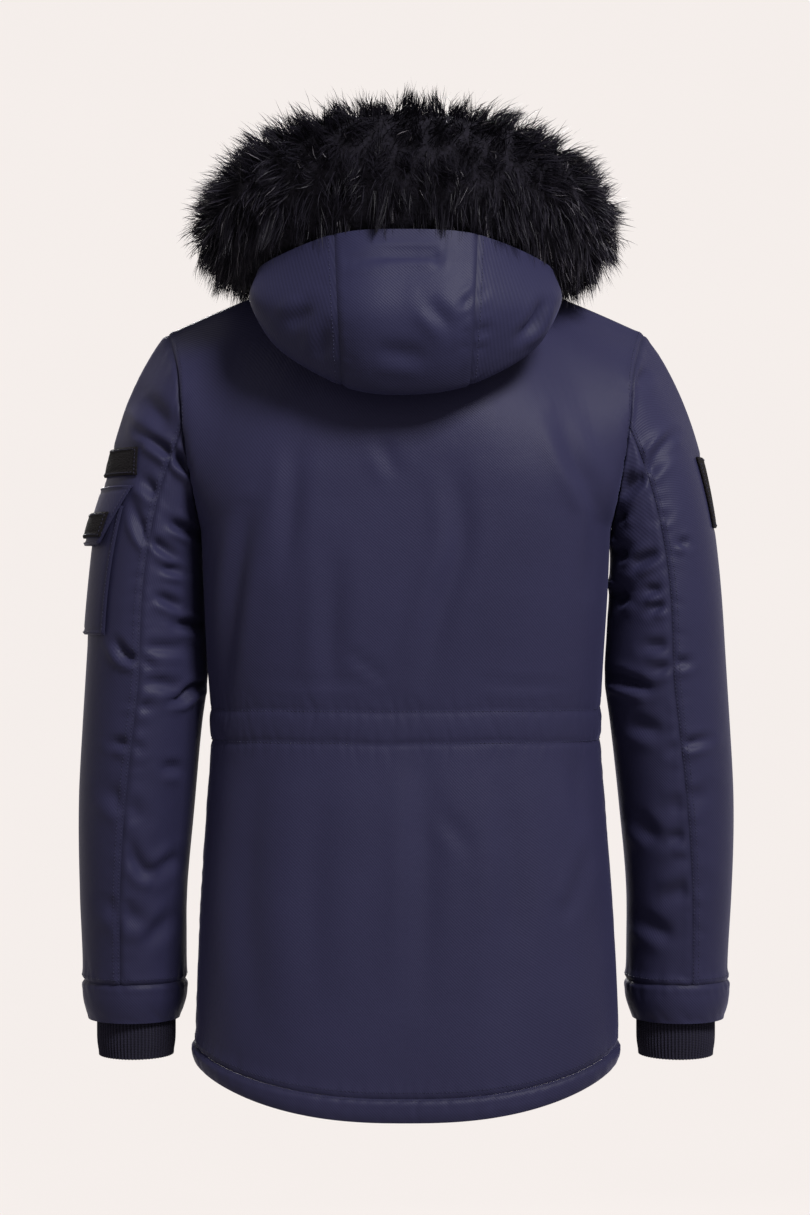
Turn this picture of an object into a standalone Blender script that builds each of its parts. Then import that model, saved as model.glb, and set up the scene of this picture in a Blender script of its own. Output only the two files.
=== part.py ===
"""Fur trimmed parka, closed, hood down, filled out and held up with no wearer.

Metres, +Z up, the back faces +Y and the wearer's left is +X.  The origin is the
middle of the neck base, between the shoulders, where a wearer holds the coat up.
Every cloth piece is a wall: a sheet of points on the outer face, the same points
moved in by the wall's thickness, and rims all round.
"""
import math

import bmesh
import bpy
import numpy as np

# ---------------------------------------------------------------- driving sizes
SEAM_GAP = 0.0004            # gap between two pieces that are sewn together
BODY_WALL = 0.006            # shell, wadding and lining together
SLEEVE_WALL = 0.005
HOOD_WALL = 0.006
CUFF_WALL = 0.003
RIB_WALL = 0.003
PATCH_WALL = 0.0016
POCKET_WALL = 0.0022
PATCH_LIFT = 0.0016          # clear of the sleeve that a patch lies on

NECK_HALF_WIDTH = 0.080      # side neck point, from the centre line
NECK_MIDDLE = -0.005         # y of the side neck point
NECK_BACK = (0.070, -0.018)  # y and z of the neck seam at the centre back
NECK_FRONT = (-0.095, -0.078)
SHOULDER_TIP = (0.238, 0.000, -0.063)
ZIP_HALF_SLOT = 0.004        # from the centre line to a front's edge

ARM_STEPS = 10               # rows up each half of an armhole
BODY_STEPS = 9               # rows from the hem seam to the underarm
SIDE_STEPS = 10              # columns from the centre to the side
NECK_STEPS = 4               # of those, the columns along the neck
CAP_STEPS = 6                # sleeve rows from the armhole to the biceps
ARM_LOW_STEPS = 7            # sleeve rows from the biceps to the cuff seam
HOOD_STEPS = 12              # rows from the neck seam to the hood's edge

UNDERARM = -0.262
CHEST_BACK = -0.235
CHEST_FRONT = -0.235
HEM_SEAM = {"side": -0.768, "back": -0.805, "front": -0.782}
HEM_BAND = {"side": 0.016, "back": 0.023, "front": 0.020}
BAND_PUFF = 0.003
BAND_ROWS = (0.0, 0.3, 0.7, 1.0)     # down the band, 0 at its seam
CUFF_SEAM = -0.711
CUFF_END = -0.750

# height, half width and half depth of the knitted cuff, lower edge first
RIB_TABLE = (
    (-0.787, 0.0370, 0.0450),
    (-0.768, 0.0390, 0.0480),
    (-0.742, 0.0390, 0.0480),
)
RIB_CENTRE = (0.2722, -0.030)
RIB_COLUMNS = 20

# height, half width, depth behind, depth in front, squareness of the section
BODY_COLUMNS = ("height", "half_width", "behind", "before", "square")
BODY_TABLE = (
    (-0.860, 0.2120, 0.1450, 0.1400, 2.6),
    (-0.785, 0.2105, 0.1450, 0.1390, 2.6),
    (-0.706, 0.2080, 0.1430, 0.1370, 2.6),
    (-0.626, 0.2045, 0.1400, 0.1340, 2.6),
    (-0.536, 0.1985, 0.1350, 0.1300, 2.6),
    (-0.457, 0.1935, 0.1300, 0.1260, 2.7),
    (-0.400, 0.1955, 0.1340, 0.1290, 2.9),
    (-0.330, 0.1990, 0.1390, 0.1320, 3.2),
    (-0.262, 0.2015, 0.1420, 0.1340, 3.5),
    (-0.200, 0.2045, 0.1430, 0.1340, 3.6),
)

# way up from the underarm, place of the armhole's seam
SIDE_PULL = 3.2              # how near the armhole the body starts to follow it
ARM_COLUMNS = ("way", "x", "y", "z")
ARMHOLE_BACK = (
    (0.0, 0.2015, 0.000, -0.262),
    (0.2, 0.2030, 0.042, -0.249),
    (0.4, 0.2095, 0.069, -0.212),
    (0.6, 0.2175, 0.076, -0.161),
    (0.8, 0.2245, 0.057, -0.106),
    (1.0, 0.2380, 0.000, -0.063),
)
ARMHOLE_FRONT = (
    (0.0, 0.2015, 0.000, -0.262),
    (0.2, 0.2025, -0.042, -0.247),
    (0.4, 0.2070, -0.066, -0.206),
    (0.6, 0.2110, -0.070, -0.156),
    (0.8, 0.2200, -0.050, -0.104),
    (1.0, 0.2380, 0.000, -0.063),
)

# way up from the chest line, profile of the centre line
CENTRE_COLUMNS = ("way", "y", "z")
CENTRE_BACK = (
    (0.0, 0.1425, -0.235),
    (0.2, 0.1430, -0.196),
    (0.4, 0.1400, -0.150),
    (0.6, 0.1300, -0.104),
    (0.8, 0.1080, -0.060),
    (1.0, 0.0700, -0.018),
)
CENTRE_FRONT = (
    (0.0, -0.1340, -0.235),
    (0.2, -0.1340, -0.207),
    (0.4, -0.1310, -0.178),
    (0.6, -0.1240, -0.147),
    (0.8, -0.1120, -0.113),
    (1.0, -0.0950, -0.078),
)

# height, centre, half width, half depth, and how far the columns turn back
SLEEVE_COLUMNS = ("height", "x", "y", "half_width", "half_depth", "turn")
SLEEVE_TABLE = (
    (-0.360, 0.2590, 0.000, 0.0585, 0.0790, 19.0),
    (-0.410, 0.2600, -0.002, 0.0610, 0.0780, 18.0),
    (-0.452, 0.2640, -0.004, 0.0598, 0.0765, 17.0),
    (-0.526, 0.2700, -0.010, 0.0580, 0.0730, 14.0),
    (-0.626, 0.2740, -0.019, 0.0535, 0.0670, 10.0),
    (-0.686, 0.2735, -0.026, 0.0520, 0.0620, 8.0),
    (-0.726, 0.2735, -0.029, 0.0510, 0.0595, 8.0),
    (-0.750, 0.2745, -0.030, 0.0460, 0.0550, 8.0),
)
BACK_SEAM = 72.0             # where the sleeve's back seam leaves the armhole, in degrees
FRONT_SEAM = -108.0          # and its front seam, both from the shoulder tip
LEAN = (0.05, 0.70, 1.3)     # how far the sleeve head leans out as it leaves the armhole
ARMPIT_GAP = 0.0015          # at the armpit, where the sleeve lies face to face with the body
ARMPIT_TURNS = (90.0, 50.0)  # where that gap starts, and the turn over which it opens

# column of the neck seam, then the places that a hood column runs through
HOOD_COLUMNS = ("column", "roll", "lining", "bottom", "outside", "edge")
HOOD_TABLE = (
    (0, (0.007, -0.100, -0.069), (0.010, -0.104, -0.060), (0.014, -0.107, -0.051),
     (0.018, -0.109, -0.042), (0.022, -0.110, -0.034)),
    (2, (0.060, -0.071, -0.044), (0.063, -0.073, -0.040), (0.067, -0.075, -0.036),
     (0.071, -0.077, -0.033), (0.074, -0.079, -0.030)),
    (4, (0.086, -0.004, 0.006), (0.094, -0.003, 0.006), (0.101, -0.001, 0.002),
     (0.107, 0.002, -0.003), (0.112, 0.004, -0.008)),
    (5, (0.086, 0.036, 0.008), (0.104, 0.052, -0.010), (0.120, 0.062, -0.036),
     (0.135, 0.066, -0.034), (0.138, 0.060, -0.018)),
    (6, (0.078, 0.067, 0.006), (0.110, 0.104, -0.036), (0.124, 0.132, -0.086),
     (0.145, 0.142, -0.046), (0.136, 0.122, -0.008)),
    (7, (0.044, 0.084, 0.004), (0.060, 0.134, -0.048), (0.060, 0.168, -0.127),
     (0.064, 0.204, -0.066), (0.068, 0.176, 0.014)),
    (8, (0.000, 0.090, 0.002), (0.000, 0.142, -0.050), (0.000, 0.175, -0.137),
     (0.000, 0.212, -0.068), (0.000, 0.186, 0.018)),
)
HOOD_SEAM_COLUMN = 7         # the hood's centre strip lies between these columns

# place of the fur's middle and its reach across and upwards, centre back to front end
FUR_COLUMNS = ("x", "y", "z", "across", "up")
FUR_TABLE = (
    (0.000, 0.160, 0.084, 0.056, 0.065),
    (0.072, 0.147, 0.080, 0.056, 0.064),
    (0.130, 0.102, 0.062, 0.055, 0.060),
    (0.160, 0.036, 0.038, 0.053, 0.054),
    (0.150, -0.030, 0.031, 0.048, 0.048),
    (0.118, -0.088, 0.006, 0.043, 0.043),
    (0.068, -0.130, -0.034, 0.034, 0.034),
)
FUR_STEPS = 30
FUR_SIDES = 12
FUR_END = 0.034              # length over which each end rounds off
FUR_EVEN = 0.55              # how even the rings are; the rest crowd towards the ends

# pieces that lie on a sleeve: angles round it from the outside, heights, lift at the foot
POCKET_EDGES = (42.0, -50.0)
POCKET_HEIGHTS = (-0.238, -0.364)
FLAP_EDGES = (46.0, -53.0)
FLAP_HEIGHTS = (-0.218, -0.277)
FLAP_LIFT = 0.010
LYING_STEP = 7.0             # degrees round the sleeve between columns
LYING_ROW = 0.030            # height between rows
FLAP_PATCH_EDGES = (34.0, -40.0)
FLAP_PATCH_HEIGHTS = (-0.245, -0.270)
ARM_PATCH_EDGES = (37.0, -30.0)
ARM_PATCH_HEIGHTS = (-0.180, -0.208)
RIGHT_PATCH_EDGES = (24.0, -40.0)
RIGHT_PATCH_HEIGHTS = (-0.188, -0.258)

TAPE_WIDTH = 0.012
TAPE_WALL = 0.0010
TEETH_HALF_WIDTH = 0.0026
TEETH_DEPTHS = (0.0018, 0.0060)     # below the fronts' outer face
TAPE_DEPTH = 0.0068
SLIDER_WAY = 0.86                   # place of the slider on the centre front's upper line
SLIDER_SIZE = (0.0095, 0.0150, 0.0022)
SLIDER_CORE = (0.0026, 0.0100)
BRIDGE_SIZE = (0.0022, 0.0080, 0.0045)
BRIDGE_BAR = 0.0013
BRIDGE_FLUSH = 0.0001
SLIDER_LIFT = 0.0008
SLIDER_ROUND = 0.0005
ZIP_STOP = 0.0030                   # from the neck seam to the top of the zip
PULL_SIZE = (0.0070, 0.0300, 0.0014)
PULL_WINDOW = (0.0044, 0.0066)
PULL_END = 0.0007                   # half the end bar that lies under the bridge
HINGE_HEIGHT = 0.0017               # the hinge line above the slider's face

NAVY = (0.020, 0.021, 0.060)
NAVY_DARK = (0.012, 0.013, 0.035)
BLACK = (0.012, 0.012, 0.014)
FUR = (0.030, 0.030, 0.034)
STEEL = (0.55, 0.55, 0.56)


# ---------------------------------------------------------------- small helpers
def column(table, names, name):
    """One named column of a table, as an array."""
    return np.array([row[names.index(name)] for row in table], dtype=float)


def spline(knots, values, at):
    """Smooth curve through the values at the knots, read at one place."""
    knots = np.asarray(knots, dtype=float)
    values = np.asarray(values, dtype=float)
    slopes = np.gradient(values, knots, axis=0)
    i = int(np.clip(np.searchsorted(knots, at) - 1, 0, len(knots) - 2))
    span = knots[i + 1] - knots[i]
    f = (at - knots[i]) / span
    start = (2 * f**3 - 3 * f**2 + 1) * values[i] + (f**3 - 2 * f**2 + f) * span * slopes[i]
    end = (3 * f**2 - 2 * f**3) * values[i + 1] + (f**3 - f**2) * span * slopes[i + 1]
    return start + end


def ease(f):
    """0 to 1 with flat ends."""
    return f * f * (3 - 2 * f)


def along(table, names, way):
    """A place on a seam or centre line given by a table of ways."""
    places = np.stack([column(table, names, name) for name in names[1:]], axis=1)
    return spline(column(table, names, "way"), places, way)


def unit(vector):
    return vector / np.linalg.norm(vector)


# ---------------------------------------------------------------- the body's form
def body_section(face, part, height):
    """Point of the body's tube; part runs 0 at the centre to 1 at the side seam."""
    heights = column(BODY_TABLE, BODY_COLUMNS, "height")
    half_width = spline(heights, column(BODY_TABLE, BODY_COLUMNS, "half_width"), height)
    square = spline(heights, column(BODY_TABLE, BODY_COLUMNS, "square"), height)
    name = "behind" if face == "back" else "before"
    depth = spline(heights, column(BODY_TABLE, BODY_COLUMNS, name), height)
    angle = part * math.pi / 2
    sign = 1 if face == "back" else -1
    x = half_width * max(math.sin(angle), 0.0) ** (2 / square)
    y = sign * depth * max(math.cos(angle), 0.0) ** (2 / square)
    return np.array([x, y, height])


def neck_point(face, part):
    """Neck seam; part runs 0 at the centre to 1 at the side neck point."""
    y_end, z_end = NECK_BACK if face == "back" else NECK_FRONT
    angle = part * math.pi / 2
    x = NECK_HALF_WIDTH * math.sin(angle)
    y = NECK_MIDDLE + (y_end - NECK_MIDDLE) * math.cos(angle)
    z = z_end * math.cos(angle) ** 1.3
    if face == "front":
        x = max(x, ZIP_HALF_SLOT)
    return np.array([x, y, z])


def top_point(face, part):
    """Neck seam and then shoulder seam, centre to shoulder tip."""
    neck_part = NECK_STEPS / SIDE_STEPS
    if part <= neck_part:
        return neck_point(face, part / neck_part)
    side_neck = neck_point(face, 1.0)
    f = (part - neck_part) / (1 - neck_part)
    crown = np.array([0.0, 0.0, 0.003 * math.sin(math.pi * f)])
    return side_neck + (np.array(SHOULDER_TIP) - side_neck) * f + crown


def body_point(face, part, row):
    """Outer face of a front or the back; row 0 is the hem seam, 1 the underarm, 2 the top."""
    chest = CHEST_BACK if face == "back" else CHEST_FRONT
    if row <= 1:
        centre = HEM_SEAM[face] + (chest - HEM_SEAM[face]) * row
        side = HEM_SEAM["side"] + (UNDERARM - HEM_SEAM["side"]) * row
        point = body_section(face, part, centre + (side - centre) * ease(part))
        if face == "front":
            point[0] = max(point[0], ZIP_HALF_SLOT)
        return point
    way = row - 1
    chest_row = body_point(face, part, 1)
    chest_centre = body_point(face, 0, 1)
    chest_side = body_point(face, 1, 1)
    arm_table = ARMHOLE_BACK if face == "back" else ARMHOLE_FRONT
    centre_table = CENTRE_BACK if face == "back" else CENTRE_FRONT
    y, z = along(centre_table, CENTRE_COLUMNS, way)
    centre = np.array([chest_centre[0], y, z])
    side = along(arm_table, ARM_COLUMNS, way)
    top = top_point(face, part)
    across = part ** SIDE_PULL
    upwards = ease(way) * way ** 0.5
    edges = centre * (1 - across) + side * across
    rows = chest_row * (1 - upwards) + top * upwards
    low = chest_centre * (1 - across) + chest_side * across
    high = top_point(face, 0) * (1 - across) + top_point(face, 1) * across
    return edges + rows - (low * (1 - upwards) + high * upwards)


def body_grid(face):
    """Points of one half, columns from the centre to the side, rows from hem to top."""
    rows = [i / BODY_STEPS for i in range(BODY_STEPS)]
    rows += [1 + i / ARM_STEPS for i in range(ARM_STEPS + 1)]
    parts = [i / SIDE_STEPS for i in range(SIDE_STEPS + 1)]
    return np.array([[body_point(face, part, row) for row in rows] for part in parts])


def band_grid(face):
    """The hem band of one half, a little fuller than the body above it."""
    parts = [i / SIDE_STEPS for i in range(SIDE_STEPS + 1)]
    columns = []
    for part in parts:
        seam = body_point(face, part, 0)
        drop = HEM_BAND[face] + (HEM_BAND["side"] - HEM_BAND[face]) * ease(part)
        steps = []
        for f in BAND_ROWS:
            point = body_section(face, part, seam[2] - drop * f)
            if face == "front":
                point[0] = max(point[0], ZIP_HALF_SLOT)
            outward = unit(point * np.array([0.45, 1.0, 0.0]))
            steps.append(point + outward * BAND_PUFF * math.sin(math.pi * f))
        columns.append(steps[::-1])
    return np.array(columns)


# ---------------------------------------------------------------- the sleeves' form
def armhole_point(turn):
    """Where the left sleeve starts; 0 is the shoulder tip, +180 the underarm round the back."""
    table = ARMHOLE_BACK if turn >= 0 else ARMHOLE_FRONT
    start, span = ARMPIT_TURNS
    opening = ARMPIT_GAP * ease(min(max((abs(turn) - start) / span, 0.0), 1.0))
    return along(table, ARM_COLUMNS, 1 - abs(turn) / 180) + np.array([opening, 0.0, 0.0])


def sleeve_section(turn, height):
    """Point of the left sleeve below the biceps, and the way it runs there."""
    heights = column(SLEEVE_TABLE, SLEEVE_COLUMNS, "height")[::-1]
    names = SLEEVE_COLUMNS[1:]
    sizes = np.stack([column(SLEEVE_TABLE, SLEEVE_COLUMNS, n)[::-1] for n in names], axis=1)
    x, y, half_width, half_depth, back_turn = spline(heights, sizes, height)
    angle = math.radians(turn + back_turn * math.sin(math.radians(turn)))
    return np.array([x + half_width * math.cos(angle), y + half_depth * math.sin(angle), height])


def sleeve_point(turn, way):
    """Outer face of the left sleeve; way 0 is the armhole, 1 the biceps, 2 the cuff seam."""
    top = SLEEVE_TABLE[0][0]
    if way >= 1:
        return sleeve_section(turn, top + (CUFF_SEAM - top) * (way - 1))
    start = armhole_point(turn)
    end = sleeve_section(turn, top)
    below = sleeve_section(turn, top - 0.02)
    length = np.linalg.norm(end - start)
    level, extra, power = LEAN
    outward = level + extra * ((1 + math.cos(math.radians(turn))) / 2) ** power
    leave = unit(np.array([outward, 0.0, -1.0])) * length
    arrive = unit(below - end) * length
    f = way
    return ((2 * f**3 - 3 * f**2 + 1) * start + (f**3 - 2 * f**2 + f) * leave
            + (3 * f**2 - 2 * f**3) * end + (f**3 - f**2) * arrive)


def sleeve_grid(first, last, steps):
    """A sleeve panel between two ways round, columns round and rows from cuff to armhole."""
    turns = [first + (last - first) * i / steps for i in range(steps + 1)]
    ways = [i / CAP_STEPS for i in range(CAP_STEPS)]
    ways += [1 + i / ARM_LOW_STEPS for i in range(ARM_LOW_STEPS + 1)]
    grid = []
    for turn in turns:
        wrapped = turn if turn <= 180 else turn - 360
        grid.append([sleeve_point(wrapped, way) for way in ways[::-1]])
    return np.array(grid)


def sleeve_way(turn, height):
    """The way down the sleeve at which it has this height, on one column."""
    low, high = 0.0, 2.0
    for _ in range(40):
        middle = (low + high) / 2
        if sleeve_point(turn, middle)[2] > height:
            low = middle
        else:
            high = middle
    return (low + high) / 2


def sleeve_lifted(turn, height, lift):
    """A place on the sleeve at a height, moved out from it."""
    way = sleeve_way(turn, height)
    here = sleeve_point(turn, way)
    round_way = sleeve_point(turn + 1, way) - sleeve_point(turn - 1, way)
    down_way = sleeve_point(turn, min(way + 0.02, 2)) - sleeve_point(turn, max(way - 0.02, 0))
    normal = unit(np.cross(down_way, round_way))
    if normal[0] < 0:
        normal = -normal
    return here + normal * lift


# ---------------------------------------------------------------- the hood's form
def hood_neck(index):
    """Neck seam under a hood column, 0 at the centre front to 8 at the centre back."""
    if index <= NECK_STEPS:
        return neck_point("front", index / NECK_STEPS)
    return neck_point("back", 2 - index / NECK_STEPS)


def hood_point(index, way):
    """Outer face of the hood's left half; way 0 is the neck seam and 1 its edge."""
    stations = column(HOOD_TABLE, HOOD_COLUMNS, "column")
    places = [hood_neck(index)]
    for name in HOOD_COLUMNS[1:]:
        values = np.array([row[HOOD_COLUMNS.index(name)] for row in HOOD_TABLE])
        mirrored = values[:-1][::-1] * np.array([-1, 1, 1])
        knots = np.concatenate([stations, 2 * stations[-1] - stations[:-1][::-1]])
        places.append(spline(knots, np.concatenate([values, mirrored]), index))
    return spline(np.linspace(0, 1, len(places)), np.array(places), way)


def hood_grid(first, last):
    """A hood panel of the left half, columns along the neck and rows to the edge."""
    ways = [i / HOOD_STEPS for i in range(HOOD_STEPS + 1)]
    return np.array([[hood_point(i, way) for way in ways] for i in range(first, last + 1)])


# ---------------------------------------------------------------- walls and solids
def mirrored(grid):
    """The same panel on the other side, its columns turned round so it still faces out."""
    return grid[::-1] * np.array([-1.0, 1.0, 1.0])


def joined(left, right):
    """Two half grids that share their first or last column, as one wide grid."""
    return np.concatenate([left, right[1:]])


def face_normals(grid):
    """Normals of a grid's quads; columns then rows turn to the outside."""
    first = grid[1:, 1:] - grid[:-1, :-1]
    second = grid[:-1, 1:] - grid[1:, :-1]
    return np.cross(first, second)


def shared_normals(grids):
    """Vertex normals, shared by every panel that meets at a point."""
    totals = {}
    keys = {}
    for name, grid in grids.items():
        quads = face_normals(grid)
        sums = np.zeros_like(grid)
        sums[1:, 1:] += quads
        sums[:-1, :-1] += quads
        sums[1:, :-1] += quads
        sums[:-1, 1:] += quads
        keys[name] = [[tuple(np.round(p * 1e5).astype(int)) for p in line] for line in grid]
        for line, sum_line in zip(keys[name], sums):
            for key, total in zip(line, sum_line):
                totals[key] = totals.get(key, np.zeros(3)) + total
    normals = {}
    for name, lines in keys.items():
        normals[name] = np.array([[unit(totals[key]) for key in line] for line in lines])
    return normals


def trimmed(grid, edges, gap):
    """Pull the named edges of a grid back by a gap, along the cloth."""
    grid = grid.copy()
    picks = {"first": (slice(0, 1), slice(None), 1, None), "last": (slice(-1, None), slice(None), -2, None),
             "low": (slice(None), slice(0, 1), None, 1), "high": (slice(None), slice(-1, None), None, -2)}
    for edge in edges:
        columns, rows, next_column, next_row = picks[edge]
        here = grid[columns, rows]
        if next_row is None:
            there = grid[next_column][None, :]
        else:
            there = grid[:, next_row][:, None]
        step = there - here
        length = np.linalg.norm(step, axis=2, keepdims=True)
        grid[columns, rows] = here + step / length * gap
    return grid


def new_object(name, mesh, color, rough, metal=0.0):
    """Link a mesh as a named object with a plain material."""
    material = bpy.data.materials.new(name)
    material.use_nodes = True
    shader = material.node_tree.nodes["Principled BSDF"]
    shader.inputs["Base Color"].default_value = (*color, 1.0)
    shader.inputs["Roughness"].default_value = rough
    shader.inputs["Metallic"].default_value = metal
    mesh.materials.append(material)
    piece = bpy.data.objects.new(name, mesh)
    bpy.context.scene.collection.objects.link(piece)
    return piece


def smooth_mesh(name, work):
    """Finish a bmesh as a mesh with round faces shaded smooth."""
    bmesh.ops.triangulate(work, faces=work.faces)
    mesh = bpy.data.meshes.new(name)
    work.to_mesh(mesh)
    work.free()
    mesh.shade_smooth()
    mesh.set_sharp_from_angle(angle=math.radians(50))
    return mesh


def wall_mesh(name, outer, inner, closed=False):
    """A wall between two grids; a closed wall is a tube and has no side rims."""
    work = bmesh.new()
    outside = [[work.verts.new(p) for p in line] for line in outer]
    inside = [[work.verts.new(p) for p in line] for line in inner]
    columns = len(outer)
    rows = len(outer[0])
    last = columns if closed else columns - 1
    for i in range(last):
        j = (i + 1) % columns
        for k in range(rows - 1):
            work.faces.new((outside[i][k], outside[j][k], outside[j][k + 1], outside[i][k + 1]))
            work.faces.new((inside[i][k], inside[i][k + 1], inside[j][k + 1], inside[j][k]))
        work.faces.new((outside[i][0], inside[i][0], inside[j][0], outside[j][0]))
        work.faces.new((outside[i][-1], outside[j][-1], inside[j][-1], inside[i][-1]))
    if not closed:
        for k in range(rows - 1):
            work.faces.new((outside[0][k], outside[0][k + 1], inside[0][k + 1], inside[0][k]))
            work.faces.new((outside[-1][k], inside[-1][k], inside[-1][k + 1], outside[-1][k + 1]))
    return smooth_mesh(name, work)


def cloth_panel(name, grid, normals, wall, edges, color=NAVY):
    """A cut panel with its wall inside, trimmed where it is sewn to others."""
    outer = trimmed(grid, edges, SEAM_GAP / 2)
    inner = trimmed(grid - normals * wall, edges, SEAM_GAP / 2)
    return new_object(name, wall_mesh(name, outer, inner), color, 0.6)


def cloth_tube(name, grid, normals, wall, edges, color):
    """A tube of cloth whose last column meets its first, wall inside."""
    outer = trimmed(grid, edges, SEAM_GAP / 2)[:-1]
    inner = trimmed(grid - normals * wall, edges, SEAM_GAP / 2)[:-1]
    return new_object(name, wall_mesh(name, outer, inner, closed=True), color, 0.7)


# ---------------------------------------------------------------- the cut pieces
def cuff_grid():
    """The band at the left wrist, from its lower edge up to the sleeve."""
    turns = [FRONT_SEAM + 18 * i for i in range(21)]
    heights = [CUFF_END + (CUFF_SEAM - CUFF_END) * i / 3 for i in range(4)]
    wrapped = [turn if turn <= 180 else turn - 360 for turn in turns]
    return np.array([[sleeve_section(turn, z) for z in heights] for turn in wrapped])


def rib_grid():
    """The knitted cuff, which starts inside the band."""
    columns = []
    for i in range(RIB_COLUMNS + 1):
        angle = 2 * math.pi * i / RIB_COLUMNS
        line = []
        for height, half_width, half_depth in RIB_TABLE:
            x = RIB_CENTRE[0] + half_width * math.cos(angle)
            line.append((x, RIB_CENTRE[1] + half_depth * math.sin(angle), height))
        columns.append(line)
    return np.array(columns)


def main_panels():
    """The large panels of the left side and the middle, all facing out."""
    back_half = body_grid("back")
    band_half = band_grid("back")
    hood_half = hood_grid(0, 2 * NECK_STEPS)
    strip = hood_half[HOOD_SEAM_COLUMN:]
    return {
        "back": joined(back_half[::-1], mirrored(back_half[::-1])),
        "hem_back": joined(band_half[::-1], mirrored(band_half[::-1])),
        "front_left": body_grid("front"),
        "hem_front_left": band_grid("front"),
        "sleeve_left_upper": sleeve_grid(FRONT_SEAM, BACK_SEAM, ARM_STEPS),
        "sleeve_left_under": sleeve_grid(BACK_SEAM, FRONT_SEAM + 360, ARM_STEPS),
        "cuff_left": cuff_grid(),
        "hood_left": hood_half[:HOOD_SEAM_COLUMN + 1],
        "hood_centre": joined(strip, mirrored(strip)),
    }


# wall, and the edges that are sewn to another piece
PANEL_CUT = {
    "back": (BODY_WALL, ("first", "last", "low", "high")),
    "hem_back": (BODY_WALL, ("first", "last", "high")),
    "front_left": (BODY_WALL, ("last", "low", "high")),
    "hem_front_left": (BODY_WALL, ("last", "high")),
    "sleeve_left_upper": (SLEEVE_WALL, ("first", "last", "low", "high")),
    "sleeve_left_under": (SLEEVE_WALL, ("first", "last", "low", "high")),
    "cuff_left": (CUFF_WALL, ("high",)),
    "hood_left": (HOOD_WALL, ("last", "low")),
    "hood_centre": (HOOD_WALL, ("first", "last", "low")),
}
OTHER_END = {"first": "last", "last": "first"}


def cut_cloth():
    """Back, fronts, hem bands, sleeves, cuffs and hood."""
    grids = main_panels()
    cuts = dict(PANEL_CUT)
    for name in list(grids):
        if "left" in name:
            twin = name.replace("left", "right")
            grids[twin] = mirrored(grids[name])
            wall, edges = PANEL_CUT[name]
            cuts[twin] = (wall, tuple(OTHER_END.get(edge, edge) for edge in edges))
    normals = shared_normals(grids)
    for name, grid in grids.items():
        wall, edges = cuts[name]
        color = NAVY_DARK if name.startswith("hood") else NAVY
        if name.startswith("cuff"):
            cloth_tube(name, grid, normals[name], wall, edges, color)
        else:
            cloth_panel(name, grid, normals[name], wall, edges, color)


def knit_cuffs():
    """The ribbed cuffs at both wrists."""
    left = rib_grid()
    for name, grid in (("rib_left", left), ("rib_right", mirrored(left))):
        normals = shared_normals({name: grid})[name]
        cloth_tube(name, grid, normals, RIB_WALL, (), BLACK)


# ---------------------------------------------------------------- what lies on the sleeves
def lying_piece(name, edges, heights, lifts, wall, color, mirror=False):
    """A piece that lies on a sleeve, made from the sleeve's own places moved out."""
    count = max(2, math.ceil(abs(edges[0] - edges[1]) / LYING_STEP))
    turns = [edges[1] + (edges[0] - edges[1]) * i / count for i in range(count + 1)]
    levels = 2 + math.ceil((heights[0] - heights[1]) / LYING_ROW)
    outer = []
    inner = []
    for turn in turns:
        outer_line = []
        inner_line = []
        for k in range(levels):
            f = k / (levels - 1)
            height = heights[1] + (heights[0] - heights[1]) * f
            lift = lifts[1] + (lifts[0] - lifts[1]) * f
            inner_line.append(sleeve_lifted(turn, height, lift))
            outer_line.append(sleeve_lifted(turn, height, lift + wall))
        outer.append(outer_line)
        inner.append(inner_line)
    outer = np.array(outer)
    inner = np.array(inner)
    if mirror:
        outer = mirrored(outer)
        inner = mirrored(inner)
    return new_object(name, wall_mesh(name, outer, inner), color, 0.7)


def sleeve_pieces():
    """Pocket, flap and patches of hook-and-loop on the left sleeve, one patch on the right."""
    flat = (PATCH_LIFT, PATCH_LIFT)
    tilted = (PATCH_LIFT, FLAP_LIFT)
    tilt = (FLAP_LIFT - PATCH_LIFT) / (FLAP_HEIGHTS[0] - FLAP_HEIGHTS[1])
    on_flap = []
    for height in FLAP_PATCH_HEIGHTS:
        on_flap.append(PATCH_LIFT * 1.6 + tilt * (FLAP_HEIGHTS[0] - height) + POCKET_WALL)
    lying_piece("sleeve_pocket", POCKET_EDGES, POCKET_HEIGHTS, flat, POCKET_WALL, NAVY)
    lying_piece("pocket_flap", FLAP_EDGES, FLAP_HEIGHTS, tilted, POCKET_WALL, NAVY)
    lying_piece("flap_patch", FLAP_PATCH_EDGES, FLAP_PATCH_HEIGHTS, on_flap, PATCH_WALL, BLACK)
    lying_piece("arm_patch_left", ARM_PATCH_EDGES, ARM_PATCH_HEIGHTS, flat, PATCH_WALL, BLACK)
    lying_piece("arm_patch_right", RIGHT_PATCH_EDGES, RIGHT_PATCH_HEIGHTS, flat, PATCH_WALL,
                BLACK, mirror=True)


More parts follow.
